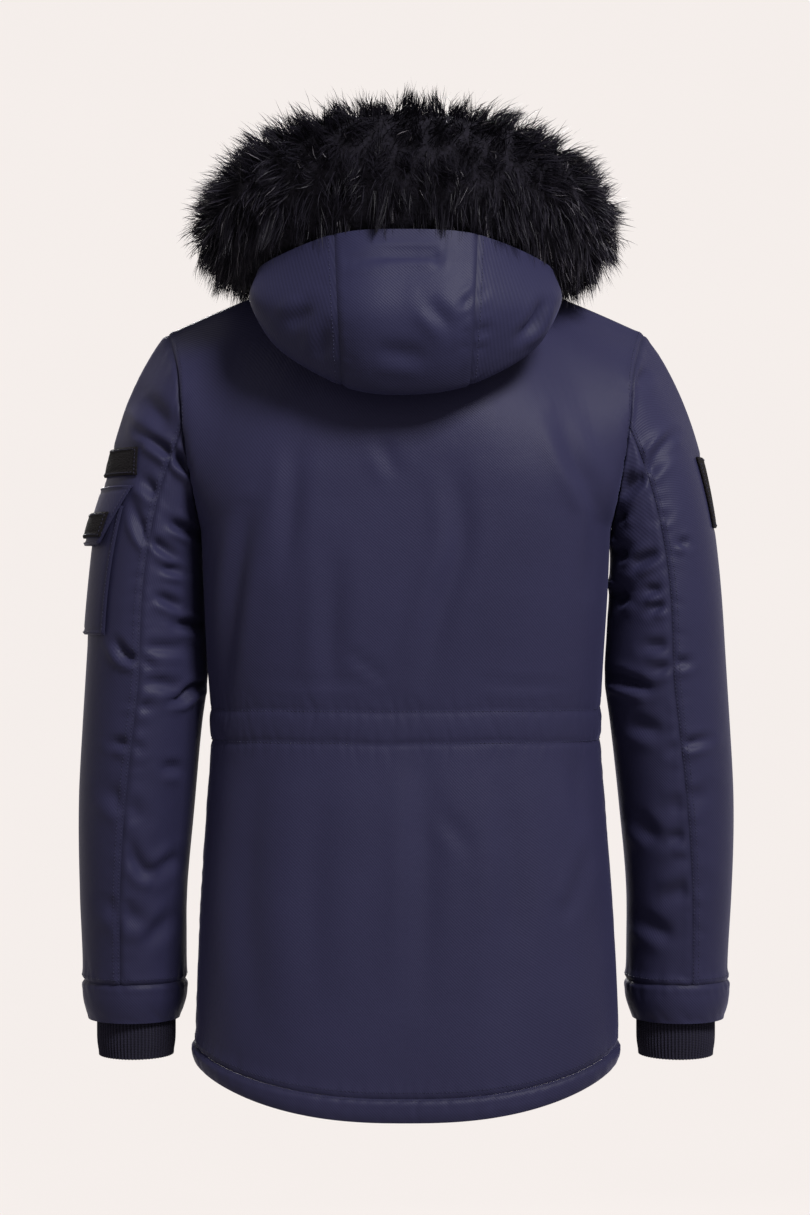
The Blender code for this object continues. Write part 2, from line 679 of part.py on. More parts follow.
# ---------------------------------------------------------------- fur
def fur_trim():
    """The plain solid of the fur's reach, along the hood's edge from corner to corner."""
    half = np.array(FUR_TABLE)
    flip = np.array([-1, 1, 1, 1, 1])
    rows = np.concatenate([half[:0:-1] * flip, half])
    knots = np.linspace(0, 1, len(rows))
    length = np.linalg.norm(np.diff(rows[:, :3], axis=0), axis=1).sum()
    work = bmesh.new()
    rings = []
    for i in range(FUR_STEPS + 1):
        f = 0.5 - 0.5 * math.cos(math.pi * i / FUR_STEPS)
        way = FUR_EVEN * i / FUR_STEPS + (1 - FUR_EVEN) * f
        x, y, z, across, up = spline(knots, rows, way)
        ahead = spline(knots, rows, min(way + 0.01, 1))[:3]
        behind = spline(knots, rows, max(way - 0.01, 0))[:3]
        run = unit(ahead - behind)
        side = unit(np.cross(run, (0, 0, 1)))
        above = np.cross(side, run)
        to_end = min(way, 1 - way) * length / FUR_END
        size = math.sqrt(max(1 - (1 - min(to_end, 1)) ** 2, 0.06))
        ring = []
        for k in range(FUR_SIDES):
            angle = 2 * math.pi * k / FUR_SIDES
            out = side * across * math.cos(angle) + above * up * math.sin(angle)
            ring.append(work.verts.new(np.array([x, y, z]) + out * size))
        rings.append(ring)
    for low, high in zip(rings[:-1], rings[1:]):
        for k in range(FUR_SIDES):
            n = (k + 1) % FUR_SIDES
            work.faces.new((low[k], low[n], high[n], high[k]))
    work.faces.new(rings[0][::-1])
    work.faces.new(rings[-1])
    bmesh.ops.recalc_face_normals(work, faces=work.faces)
    new_object("fur_trim", smooth_mesh("fur_trim", work), FUR, 0.9)


# ---------------------------------------------------------------- front zip
def front_line():
    """Profile of the centre front, hem to neck, as y and z with the outward way."""
    places = []
    drop = HEM_BAND["front"]
    places.append(body_section("front", 0, HEM_SEAM["front"] - drop)[1:])
    rows = [i / BODY_STEPS for i in range(BODY_STEPS)]
    rows += [1 + i / ARM_STEPS for i in range(ARM_STEPS + 1)]
    places += [body_point("front", 0, row)[1:] for row in rows]
    places = np.array(places)
    runs = np.gradient(places, axis=0)
    outward = np.stack([-runs[:, 1], runs[:, 0]], axis=1)
    outward /= np.linalg.norm(outward, axis=1, keepdims=True)
    places[-1] -= unit(runs[-1]) * ZIP_STOP
    places[0] += unit(runs[0]) * SEAM_GAP
    return places, outward


def zip_strip(name, start, end, depths, color, rough, metal=0.0):
    """A strip along the zip between two distances from the centre line."""
    places, outward = front_line()
    outer = places - outward * depths[0]
    inner = places - outward * depths[1]
    walls = []
    for line in (outer, inner):
        walls.append(np.array([[(x, y, z) for y, z in line] for x in (start, end)]))
    return new_object(name, wall_mesh(name, walls[0], walls[1]), color, rough, metal)


def box_mesh(name, low, high):
    """A box between two corners."""
    work = bmesh.new()
    bmesh.ops.create_cube(work, size=1.0)
    low = np.array(low)
    high = np.array(high)
    for vert in work.verts:
        vert.co = low + (np.array(vert.co) + 0.5) * (high - low)
    mesh = bpy.data.meshes.new(name)
    work.to_mesh(mesh)
    work.free()
    return mesh


def combine(piece, low, high, operation):
    """Join a box to a piece, or cut it out, with a hidden helper."""
    helper = bpy.data.objects.new(piece.name + "_helper", box_mesh("helper", low, high))
    bpy.context.scene.collection.objects.link(helper)
    helper.parent = piece
    helper.hide_render = True
    helper.display_type = "WIRE"
    cut = piece.modifiers.new("combine", "BOOLEAN")
    cut.operation = operation
    cut.object = helper


def rounded(piece, width):
    """A small round on a piece's edges."""
    bevel = piece.modifiers.new("round", "BEVEL")
    bevel.width = width
    bevel.segments = 1
    bevel.limit_method = "ANGLE"


def zip_parts():
    """Tapes, closed teeth, slider and pull tab of the centre front zip."""
    tape = (TAPE_DEPTH, TAPE_DEPTH + TAPE_WALL)
    gap = SEAM_GAP
    zip_strip("zip_tape_left", gap, TAPE_WIDTH, tape, BLACK, 0.8)
    zip_strip("zip_tape_right", -TAPE_WIDTH, -gap, tape, BLACK, 0.8)
    zip_strip("zip_teeth", -TEETH_HALF_WIDTH, TEETH_HALF_WIDTH, TEETH_DEPTHS, STEEL, 0.35, 1.0)
    y, z = along(CENTRE_FRONT, CENTRE_COLUMNS, SLIDER_WAY)
    above = along(CENTRE_FRONT, CENTRE_COLUMNS, SLIDER_WAY + 0.02)
    tilt = math.atan2(above[1] - z, above[0] - y)
    width, height, thick = SLIDER_SIZE
    face = SLIDER_LIFT + thick
    core_width, core_height = SLIDER_CORE
    bridge_width, bridge_length, bridge_height = BRIDGE_SIZE
    plate = box_mesh("zip_slider", (-width / 2, -height / 2, SLIDER_LIFT), (width / 2, height / 2, face))
    slider = new_object("zip_slider", plate, STEEL, 0.35, 1.0)
    slider.location = (0, y, z)
    slider.rotation_euler = (tilt, 0, 0)
    rounded(slider, SLIDER_ROUND)
    combine(slider, (-core_width / 2, -core_height / 2, SEAM_GAP - TEETH_DEPTHS[0]),
            (core_width / 2, core_height / 2, face - SLIDER_ROUND), "UNION")
    sunk = face - SLIDER_ROUND * 2
    half = bridge_width / 2
    long = bridge_length / 2
    for side in (-1, 1):
        near, far = sorted((side * (long - BRIDGE_BAR), side * long))
        combine(slider, (-half, near, sunk), (half, far, face + bridge_height), "UNION")
    combine(slider, (-half, -long + BRIDGE_BAR / 2, face + bridge_height - BRIDGE_BAR),
            (half, long - BRIDGE_BAR / 2, face + bridge_height - BRIDGE_FLUSH), "UNION")
    hinge = np.array([y, z]) + np.array([-math.sin(tilt), math.cos(tilt)]) * (face + HINGE_HEIGHT)
    pull_width, pull_length, pull_thick = PULL_SIZE
    tab = box_mesh("zip_pull", (-pull_width / 2, PULL_END - pull_length, -pull_thick / 2),
                   (pull_width / 2, PULL_END, pull_thick / 2))
    pull = new_object("zip_pull", tab, STEEL, 0.35, 1.0)
    pull.location = (0, hinge[0], hinge[1])
    pull.rotation_euler = (tilt, 0, 0)
    window_width, window_length = PULL_WINDOW
    combine(pull, (-window_width / 2, -PULL_END - window_length, -pull_thick),
            (window_width / 2, -PULL_END, pull_thick), "DIFFERENCE")


def build():
    """Clear the scene and make the whole coat."""
    for old in list(bpy.data.objects):
        bpy.data.objects.remove(old, do_unlink=True)
    cut_cloth()
    knit_cuffs()
    sleeve_pieces()
    fur_trim()
    zip_parts()


if __name__ == "__main__":
    build()
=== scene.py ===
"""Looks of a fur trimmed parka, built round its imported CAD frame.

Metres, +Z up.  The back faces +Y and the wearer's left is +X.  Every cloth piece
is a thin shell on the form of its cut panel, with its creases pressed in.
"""
import math

import bmesh
import bpy
import numpy as np
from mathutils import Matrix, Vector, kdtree


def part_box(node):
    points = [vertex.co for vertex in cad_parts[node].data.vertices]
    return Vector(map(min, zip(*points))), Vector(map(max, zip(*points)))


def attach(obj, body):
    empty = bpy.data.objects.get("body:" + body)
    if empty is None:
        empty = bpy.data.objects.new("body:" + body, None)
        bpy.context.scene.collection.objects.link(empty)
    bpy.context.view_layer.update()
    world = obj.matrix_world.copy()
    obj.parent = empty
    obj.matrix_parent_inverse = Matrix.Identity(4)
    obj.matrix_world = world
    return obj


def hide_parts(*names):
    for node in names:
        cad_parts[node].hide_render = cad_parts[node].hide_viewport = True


bl_info = {
    "name": "Fur trimmed parka",
    "version": (1, 0, 0),
    "blender": (4, 5, 0),
    "location": "3D View > Sidebar > Parka",
    "description": "Builds the cloth, fur, zip and stage of a fur trimmed parka on its frame",
    "category": "Object",
}

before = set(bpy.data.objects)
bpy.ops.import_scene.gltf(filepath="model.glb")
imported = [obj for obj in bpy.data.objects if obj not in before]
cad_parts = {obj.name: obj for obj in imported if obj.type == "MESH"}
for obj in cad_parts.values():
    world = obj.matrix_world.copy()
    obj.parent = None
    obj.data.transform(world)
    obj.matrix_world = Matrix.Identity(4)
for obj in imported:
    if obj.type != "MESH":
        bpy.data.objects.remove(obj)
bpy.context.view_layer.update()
MIRROR = np.array([-1.0, 1.0, 1.0])

# ---------------------------------------------------------------- the coat's form, in metres
NECK_HALF_WIDTH = 0.080
NECK_MIDDLE = -0.005
NECK_BACK = (0.070, -0.018)
NECK_FRONT = (-0.095, -0.078)
SHOULDER_TIP = (0.238, 0.000, -0.063)
ZIP_HALF_SLOT = 0.004
CORNER_SPREAD = 0.30         # how far the corner at the side of the neck is eased out below
NECK_PART = 0.4              # share of a half panel's top edge that is the neck
UNDERARM = -0.262
CHEST = -0.235
HEM_SEAM = {"side": -0.768, "back": -0.805, "front": -0.782}
HEM_BAND = {"side": 0.016, "back": 0.023, "front": 0.020}
CUFF_SEAM = -0.711
CUFF_END = -0.750
SIDE_PULL = 3.2
BACK_SEAM = 72.0
FRONT_SEAM = -108.0
LEAN = (0.05, 0.70, 1.3)
ARMPIT_GAP = 0.0015
ARMPIT_TURNS = (90.0, 50.0)

# height, half width, depth behind, depth in front, squareness
BODY_TABLE = np.array((
    (-0.860, 0.2120, 0.1450, 0.1400, 2.6),
    (-0.785, 0.2105, 0.1450, 0.1390, 2.6),
    (-0.706, 0.2080, 0.1430, 0.1370, 2.6),
    (-0.626, 0.2045, 0.1400, 0.1340, 2.6),
    (-0.536, 0.1985, 0.1350, 0.1300, 2.6),
    (-0.457, 0.1935, 0.1300, 0.1260, 2.7),
    (-0.400, 0.1955, 0.1340, 0.1290, 2.9),
    (-0.330, 0.1990, 0.1390, 0.1320, 3.2),
    (-0.262, 0.2015, 0.1420, 0.1340, 3.5),
    (-0.200, 0.2045, 0.1430, 0.1340, 3.6),
))
# way up from the underarm, then x, y, z of the armhole's seam
ARMHOLE = {
    "back": np.array((
        (0.0, 0.2015, 0.000, -0.262),
        (0.2, 0.2030, 0.042, -0.249),
        (0.4, 0.2095, 0.069, -0.212),
        (0.6, 0.2175, 0.076, -0.161),
        (0.8, 0.2245, 0.057, -0.106),
        (1.0, 0.2380, 0.000, -0.063),
    )),
    "front": np.array((
        (0.0, 0.2015, 0.000, -0.262),
        (0.2, 0.2025, -0.042, -0.247),
        (0.4, 0.2070, -0.066, -0.206),
        (0.6, 0.2110, -0.070, -0.156),
        (0.8, 0.2200, -0.050, -0.104),
        (1.0, 0.2380, 0.000, -0.063),
    )),
}
# way up from the chest, then y, z of the centre line
CENTRE = {
    "back": np.array((
        (0.0, 0.1425, -0.235),
        (0.2, 0.1430, -0.196),
        (0.4, 0.1400, -0.150),
        (0.6, 0.1300, -0.104),
        (0.8, 0.1080, -0.060),
        (1.0, 0.0700, -0.018),
    )),
    "front": np.array((
        (0.0, -0.1340, -0.235),
        (0.2, -0.1340, -0.207),
        (0.4, -0.1310, -0.178),
        (0.6, -0.1240, -0.147),
        (0.8, -0.1120, -0.113),
        (1.0, -0.0950, -0.078),
    )),
}
# height, centre x and y, half width, half depth, and how far the columns turn back
SLEEVE_TABLE = np.array((
    (-0.360, 0.2590, 0.000, 0.0585, 0.0790, 19.0),
    (-0.410, 0.2600, -0.002, 0.0610, 0.0780, 18.0),
    (-0.452, 0.2640, -0.004, 0.0598, 0.0765, 17.0),
    (-0.526, 0.2700, -0.010, 0.0580, 0.0730, 14.0),
    (-0.626, 0.2740, -0.019, 0.0535, 0.0670, 10.0),
    (-0.686, 0.2735, -0.026, 0.0520, 0.0620, 8.0),
    (-0.726, 0.2735, -0.029, 0.0510, 0.0595, 8.0),
    (-0.750, 0.2745, -0.030, 0.0460, 0.0550, 8.0),
))[::-1]
# column of the neck seam, then roll, lining, bottom, outside and edge of the hood there
HOOD_TABLE = (
    (0, (0.007, -0.100, -0.069), (0.010, -0.104, -0.060), (0.014, -0.107, -0.051),
     (0.018, -0.109, -0.042), (0.022, -0.110, -0.034)),
    (2, (0.060, -0.071, -0.044), (0.063, -0.073, -0.040), (0.067, -0.075, -0.036),
     (0.071, -0.077, -0.033), (0.074, -0.079, -0.030)),
    (4, (0.086, -0.004, 0.006), (0.094, -0.003, 0.006), (0.101, -0.001, 0.002),
     (0.107, 0.002, -0.003), (0.112, 0.004, -0.008)),
    (5, (0.086, 0.036, 0.008), (0.104, 0.052, -0.010), (0.120, 0.062, -0.036),
     (0.135, 0.066, -0.034), (0.138, 0.060, -0.018)),
    (6, (0.078, 0.067, 0.006), (0.110, 0.104, -0.036), (0.124, 0.132, -0.086),
     (0.145, 0.142, -0.046), (0.136, 0.122, -0.008)),
    (7, (0.044, 0.084, 0.004), (0.060, 0.134, -0.048), (0.060, 0.168, -0.127),
     (0.064, 0.204, -0.066), (0.068, 0.176, 0.014)),
    (8, (0.000, 0.090, 0.002), (0.000, 0.142, -0.050), (0.000, 0.175, -0.137),
     (0.000, 0.212, -0.068), (0.000, 0.186, 0.018)),
)
HOOD_SEAM_COLUMN = 7
# middle of the fur and its reach across and upwards, centre back to front end
FUR_TABLE = np.array((
    (0.000, 0.160, 0.084, 0.056, 0.065),
    (0.072, 0.147, 0.080, 0.056, 0.064),
    (0.130, 0.102, 0.062, 0.055, 0.060),
    (0.160, 0.036, 0.038, 0.053, 0.054),
    (0.150, -0.030, 0.031, 0.048, 0.048),
    (0.118, -0.088, 0.006, 0.043, 0.043),
    (0.068, -0.130, -0.034, 0.034, 0.034),
))
FUR_END = 0.034

# what lies on the sleeves: turns round the sleeve from its outside, then heights
POCKET_PLACE = ((42.0, -50.0), (-0.238, -0.364))
FLAP_PLACE = ((46.0, -53.0), (-0.218, -0.277))
FLAP_LIFT = 0.010
FLAP_SLANT = 13.0            # how much further round its rear edge starts at its head
FLAP_PATCH_PLACE = ((34.0, -40.0), (-0.245, -0.270))
ARM_PATCH_PLACE = ((37.0, -30.0), (-0.180, -0.208))
RIGHT_PATCH_PLACE = ((13.0, -40.0), (-0.188, -0.258))
PATCH_LIFT = 0.0016
LYING_WALL = 0.0022
PATCH_WALL = 0.0016

# the drawstring casing at the waist: its two rows of stitching
CASING_TOP = -0.4365
CASING_FOOT = -0.4670

# ---------------------------------------------------------------- creases: path, width, depth
# Paths are x and height as the coat is seen square on, in metres; a trough has a depth above 0.
BACK_CREASES = (
    (((-0.154, -0.149), (-0.169, -0.188), (-0.186, -0.222), (-0.192, -0.251), (-0.185, -0.315)),
     0.011, 0.0050),
    (((-0.050, -0.198), (-0.056, -0.274), (-0.038, -0.333), (-0.020, -0.403)), 0.014, 0.0036),
    (((-0.019, -0.490), (-0.020, -0.600), (-0.016, -0.730)), 0.017, 0.0030),
    (((0.024, -0.169), (0.009, -0.207)), 0.010, 0.0018),
    (((0.109, -0.180), (0.115, -0.251), (0.123, -0.298)), 0.012, 0.0032),
    (((0.156, -0.239), (0.167, -0.298), (0.176, -0.359), (0.185, -0.433)), 0.010, 0.0050),
    (((0.071, -0.280), (0.074, -0.359), (0.074, -0.418)), 0.014, 0.0028),
    (((0.059, -0.383), (0.021, -0.406)), 0.006, 0.0018),
    (((0.147, -0.408), (0.080, -0.412), (0.021, -0.409)), 0.006, 0.0010),
    (((-0.074, -0.412), (-0.120, -0.415), (-0.167, -0.412)), 0.006, 0.0010),
    (((-0.034, -0.539), (-0.064, -0.581)), 0.010, 0.0016),
    (((-0.184, -0.578), (-0.166, -0.632), (-0.151, -0.644)), 0.009, 0.0026),
    (((0.150, -0.495), (0.160, -0.620), (0.152, -0.760)), 0.017, 0.0032),
    (((0.082, -0.500), (0.092, -0.630), (0.088, -0.745)), 0.018, 0.0020),
    (((-0.098, -0.500), (-0.108, -0.620), (-0.098, -0.745)), 0.018, 0.0024),
    (((-0.168, -0.490), (-0.178, -0.560)), 0.010, 0.0020),
)
LEFT_SLEEVE_CREASES = (
    (((0.264, -0.162), (0.212, -0.201), (0.204, -0.217)), 0.0060, 0.0070),
    (((0.260, -0.127), (0.237, -0.159)), 0.0110, 0.0036),
    (((0.264, -0.207), (0.246, -0.228)), 0.0070, 0.0034),
    (((0.275, -0.232), (0.260, -0.266), (0.248, -0.274), (0.227, -0.289)), 0.0060, 0.0040),
    (((0.237, -0.251), (0.208, -0.264)), 0.0060, 0.0045),
    (((0.245, -0.297), (0.222, -0.301)), 0.0055, 0.0034),
    (((0.250, -0.324), (0.224, -0.337)), 0.0060, 0.0034),
    (((0.231, -0.353), (0.203, -0.355)), 0.0060, 0.0045),
    (((0.291, -0.370), (0.281, -0.384), (0.268, -0.389), (0.252, -0.397)), 0.0055, 0.0055),
    (((0.262, -0.376), (0.222, -0.378)), 0.0065, 0.0030),
    (((0.264, -0.409), (0.225, -0.417)), 0.0075, 0.0034),
    (((0.239, -0.431), (0.224, -0.428), (0.214, -0.418), (0.197, -0.411)), 0.0045, 0.0055),
    (((0.271, -0.435), (0.256, -0.437)), 0.0055, 0.0030),
    (((0.294, -0.472), (0.279, -0.473), (0.264, -0.479)), 0.0055, 0.0042),
    (((0.243, -0.496), (0.224, -0.498)), 0.0065, 0.0030),
    (((0.300, -0.518), (0.262, -0.548)), 0.0100, 0.0026),
    (((0.279, -0.571), (0.264, -0.598), (0.250, -0.604)), 0.0075, 0.0036),
    (((0.227, -0.584), (0.247, -0.602)), 0.0075, 0.0034),
    (((0.300, -0.632), (0.256, -0.655)), 0.0100, 0.0028),
    (((0.228, -0.640), (0.262, -0.676)), 0.0090, 0.0028),
)
RIGHT_SLEEVE_CREASES = (
    (((-0.267, -0.165), (-0.236, -0.199)), 0.0060, 0.0045),
    (((-0.267, -0.180), (-0.238, -0.207), (-0.217, -0.230)), 0.0060, 0.0045),
    (((-0.231, -0.201), (-0.211, -0.224)), 0.0080, 0.0060),
    (((-0.216, -0.240), (-0.210, -0.250)), 0.0070, 0.0050),
    (((-0.219, -0.279), (-0.209, -0.287)), 0.0080, 0.0060),
    (((-0.219, -0.321), (-0.207, -0.331)), 0.0095, 0.0070),
    (((-0.226, -0.295), (-0.251, -0.282)), 0.0065, 0.0042),
    (((-0.238, -0.321), (-0.255, -0.318)), 0.0060, 0.0032),
    (((-0.244, -0.341), (-0.259, -0.331)), 0.0055, 0.0032),
    (((-0.272, -0.270), (-0.282, -0.274)), 0.0050, 0.0030),
    (((-0.249, -0.250), (-0.261, -0.245)), 0.0060, 0.0030),
    (((-0.242, -0.100), (-0.232, -0.113)), 0.0080, 0.0030),
    (((-0.238, -0.376), (-0.263, -0.374)), 0.0065, 0.0034),
    (((-0.247, -0.401), (-0.270, -0.393), (-0.284, -0.391)), 0.0055, 0.0042),
    (((-0.203, -0.405), (-0.246, -0.418)), 0.0065, 0.0065),
    (((-0.222, -0.450), (-0.256, -0.462)), 0.0090, 0.0030),
    (((-0.265, -0.481), (-0.276, -0.475), (-0.303, -0.468)), 0.0055, 0.0042),
    (((-0.300, -0.520), (-0.262, -0.540)), 0.0100, 0.0026),
    (((-0.228, -0.545), (-0.252, -0.570)), 0.0090, 0.0030),
    (((-0.261, -0.571), (-0.282, -0.563)), 0.0075, 0.0032),
    (((-0.296, -0.612), (-0.255, -0.630)), 0.0100, 0.0028),
    (((-0.230, -0.645), (-0.266, -0.668)), 0.0090, 0.0030),
)
# the side away from the one that the tables above describe
FRONT_SLEEVE_CREASES = (
    (((0.262, -0.150), (0.216, -0.188)), 0.0090, 0.0045),
    (((0.286, -0.205), (0.240, -0.236)), 0.0080, 0.0036),
    (((0.232, -0.262), (0.270, -0.290)), 0.0070, 0.0034),
    (((0.300, -0.355), (0.262, -0.378), (0.226, -0.384)), 0.0070, 0.0055),
    (((0.296, -0.402), (0.250, -0.420)), 0.0065, 0.0046),
    (((0.222, -0.440), (0.258, -0.455)), 0.0070, 0.0038),
    (((0.300, -0.500), (0.256, -0.526)), 0.0090, 0.0032),
    (((0.230, -0.570), (0.268, -0.600)), 0.0090, 0.0032),
    (((0.300, -0.650), (0.256, -0.672)), 0.0090, 0.0030),
)
FRONT_CREASES = (
    (((0.150, -0.160), (0.168, -0.225), (0.172, -0.300)), 0.0120, 0.0045),
    (((0.060, -0.210), (0.068, -0.310), (0.058, -0.410)), 0.0150, 0.0032),
    (((0.125, -0.330), (0.130, -0.425)), 0.0110, 0.0030),
    (((0.048, -0.490), (0.056, -0.620), (0.050, -0.750)), 0.0170, 0.0028),
    (((0.130, -0.490), (0.142, -0.620), (0.136, -0.740)), 0.0170, 0.0032),
    (((0.090, -0.395), (0.160, -0.415)), 0.0060, 0.0014),
)
HOOD_CREASES = (
    (((0.060, 0.008), (0.022, 0.014), (-0.020, 0.016), (-0.034, 0.012)), 0.0045, 0.0040),
    (((-0.112, -0.068), (-0.128, -0.052), (-0.138, -0.030)), 0.0060, 0.0046),
    (((-0.080, -0.020), (-0.056, -0.034)), 0.0050, 0.0024),
    (((-0.084, -0.058), (-0.060, -0.064)), 0.0050, 0.0024),
    (((-0.078, -0.078), (-0.056, -0.076)), 0.0040, 0.0020),
    (((0.096, -0.036), (0.118, -0.056)), 0.0090, 0.0030),
    (((0.078, -0.060), (0.088, -0.088)), 0.0080, 0.0028),
    (((0.030, -0.080), (-0.020, -0.086)), 0.0100, 0.0020),
    (((-0.020, -0.030), (-0.046, -0.058)), 0.0090, 0.0022),
)
CREASE_SAMPLES = 70
CREASE_GAIN = 1.55           # how much deeper the creases are pressed than the tables say
CREASE_WIDTH = 0.86          # how wide a crease is for the width its row says
BACK_GAIN = 0.62             # and how deep the creases of the back are beside the others
RIDGE = (0.40, 1.9, 1.1)     # height, place and narrowness of the rise beside a trough
VIEW_DISTANCE = 3.0
VIEW_HEIGHT = -0.337


# ---------------------------------------------------------------- sizes and colours to change
def colour_of(name, description, default):
    """A colour property."""
    return bpy.props.FloatVectorProperty(
        name=name, description=description, default=default, subtype="COLOR", size=3, min=0.0, max=1.0)


def length_of(name, description, default):
    """A length property, in metres."""
    return bpy.props.FloatProperty(
        name=name, description=description, default=default, subtype="DISTANCE", unit="LENGTH", min=0.0)


class ParkaCloth(bpy.types.PropertyGroup):
    """Cloth of the shell, its lining and its threads."""

    shell: colour_of("Shell", "Colour of the twill shell", (0.0084, 0.0081, 0.0200))
    hood: colour_of("Hood", "Colour of the hood's twill", (0.0078, 0.0077, 0.0195))
    lining: colour_of("Lining", "Colour of the smooth lining", (0.0080, 0.0080, 0.0130))
    thread: colour_of("Thread", "Colour of the topstitching", (0.0110, 0.0110, 0.0260))
    wall: length_of("Wall", "Thickness of the cloth as it shows", 0.0030)
    twill: length_of("Twill pitch", "Distance between two lines of the twill", 0.0011)
    stitch: length_of("Stitch", "Length of one stitch with its gap", 0.0040)


class ParkaTrim(bpy.types.PropertyGroup):
    """Knit, hook-and-loop, fur and metal."""

    knit: colour_of("Knit", "Colour of the ribbed cuffs", (0.0042, 0.0038, 0.0078))
    pile: colour_of("Loop pile", "Colour of the hook-and-loop patches", (0.0030, 0.0024, 0.0030))
    fur_dark: colour_of("Underfur", "Colour of the fur's dark hairs", (0.0040, 0.0036, 0.0055))
    fur_light: colour_of("Guard hair", "Colour of the fur's pale tips", (0.1100, 0.1030, 0.1150))
    metal: colour_of("Metal", "Colour of the zip's metal", (0.4200, 0.4200, 0.4300))
    hairs: bpy.props.IntProperty(
        name="Hairs", description="Number of hairs on the fur trim", default=60000, min=1000, max=110000)
    hair_width: length_of("Hair width", "Width of a hair at its root", 0.00110)


class ParkaStage(bpy.types.PropertyGroup):
    """Floor and light."""

    floor: colour_of("Floor", "Colour of the pale floor", (0.0600, 0.0565, 0.0548))
    glow: bpy.props.FloatProperty(name="Glow", description="How much the backdrop shines by itself",
                                  default=14.0, min=0.0, max=30.0)
    drop: length_of("Floor drop", "How far the floor lies under the hem", 1.100)


# ---------------------------------------------------------------- small helpers
def spline(knots, values, at):
    """Smooth curve through values at knots, read at any number of places."""
    knots = np.asarray(knots, dtype=float)
    values = np.asarray(values, dtype=float)
    at = np.asarray(at, dtype=float)
    slopes = np.gradient(values, knots, axis=0)
    i = np.clip(np.searchsorted(knots, at) - 1, 0, len(knots) - 2)
    span = knots[i + 1] - knots[i]
    f = (at - knots[i]) / span
    extra = (1,) * (values.ndim - 1)
    f = f.reshape(f.shape + extra)
    span = span.reshape(span.shape + extra)
    start = (2 * f**3 - 3 * f**2 + 1) * values[i] + (f**3 - 2 * f**2 + f) * span * slopes[i]
    end = (3 * f**2 - 2 * f**3) * values[i + 1] + (f**3 - f**2) * span * slopes[i + 1]
    return start + end


def ease(f):
    """0 to 1 with flat ends."""
    f = np.clip(f, 0.0, 1.0)
    return f * f * (3 - 2 * f)


def unit(vectors):
    """Vectors along the last axis brought to length 1."""
    return vectors / np.maximum(np.linalg.norm(vectors, axis=-1, keepdims=True), 1e-12)


def runs(points, axis):
    """Distance travelled along the points in one direction of a grid."""
    steps = np.linalg.norm(np.diff(points, axis=axis), axis=-1)
    start = np.zeros_like(np.take(steps, [0], axis=axis))
    return np.concatenate([start, np.cumsum(steps, axis=axis)], axis=axis)


def normals_of(points):
    """Unit normals of a grid of points, columns then rows turning outwards."""
    across = np.gradient(points, axis=0)
    upwards = np.gradient(points, axis=1)
    return unit(np.cross(across, upwards))


def graded(count, spots=()):
    """Ways from 0 to 1, closer together near the spots given as place, width and gain."""
    fine = np.linspace(0, 1, 2001)
    density = np.ones_like(fine)
    for place, width, gain in spots:
        density += gain * np.exp(-((fine - place) / width) ** 2)
    total = np.cumsum(density)
    total = (total - total[0]) / (total[-1] - total[0])
    return np.interp(np.linspace(0, 1, count + 1), total, fine)


# ---------------------------------------------------------------- the coat's form
def body_section(face, part, height):
    """The body's tube; part runs 0 at the centre to 1 at the side seam."""
    sizes = spline(BODY_TABLE[:, 0], BODY_TABLE[:, 1:], height)
    half_width = sizes[..., 0]
    depth = sizes[..., 1] if face == "back" else -sizes[..., 2]
    power = 2 / sizes[..., 3]
    angle = part * math.pi / 2
    x = half_width * np.maximum(np.sin(angle), 0.0) ** power
    y = depth * np.maximum(np.cos(angle), 0.0) ** power
    if face == "front":
        x = np.maximum(x, ZIP_HALF_SLOT)
    return np.stack(np.broadcast_arrays(x, y, height), axis=-1)


def neck_point(face, part):
    """Neck seam; part runs 0 at the centre to 1 at the side neck point."""
    y_end, z_end = NECK_BACK if face == "back" else NECK_FRONT
    angle = np.asarray(part) * math.pi / 2
    x = NECK_HALF_WIDTH * np.sin(angle)
    y = NECK_MIDDLE + (y_end - NECK_MIDDLE) * np.cos(angle)
    z = z_end * np.maximum(np.cos(angle), 0.0) ** 1.3
    if face == "front":
        x = np.maximum(x, ZIP_HALF_SLOT)
    return np.stack([x, y, z], axis=-1)


def top_point(face, part):
    """Neck seam and then shoulder seam."""
    on_neck = neck_point(face, np.clip(part / NECK_PART, 0, 1))
    side_neck = neck_point(face, 1.0)
    f = np.clip((part - NECK_PART) / (1 - NECK_PART), 0, 1)[..., None]
    crown = np.array([0.0, 0.0, 0.003]) * np.sin(math.pi * f)
    shoulder = side_neck + (np.array(SHOULDER_TIP) - side_neck) * f + crown
    return np.where((part <= NECK_PART)[..., None], on_neck, shoulder)


def eased_top(face, part):
    """The top edge with its corner at the side of the neck rounded off, for the rows below it."""
    total = 0.0
    for step in np.linspace(-1, 1, 11):
        near = np.minimum(part, 1 - part)
        total = total + top_point(face, part + step * np.minimum(near, CORNER_SPREAD)) / 11
    return total


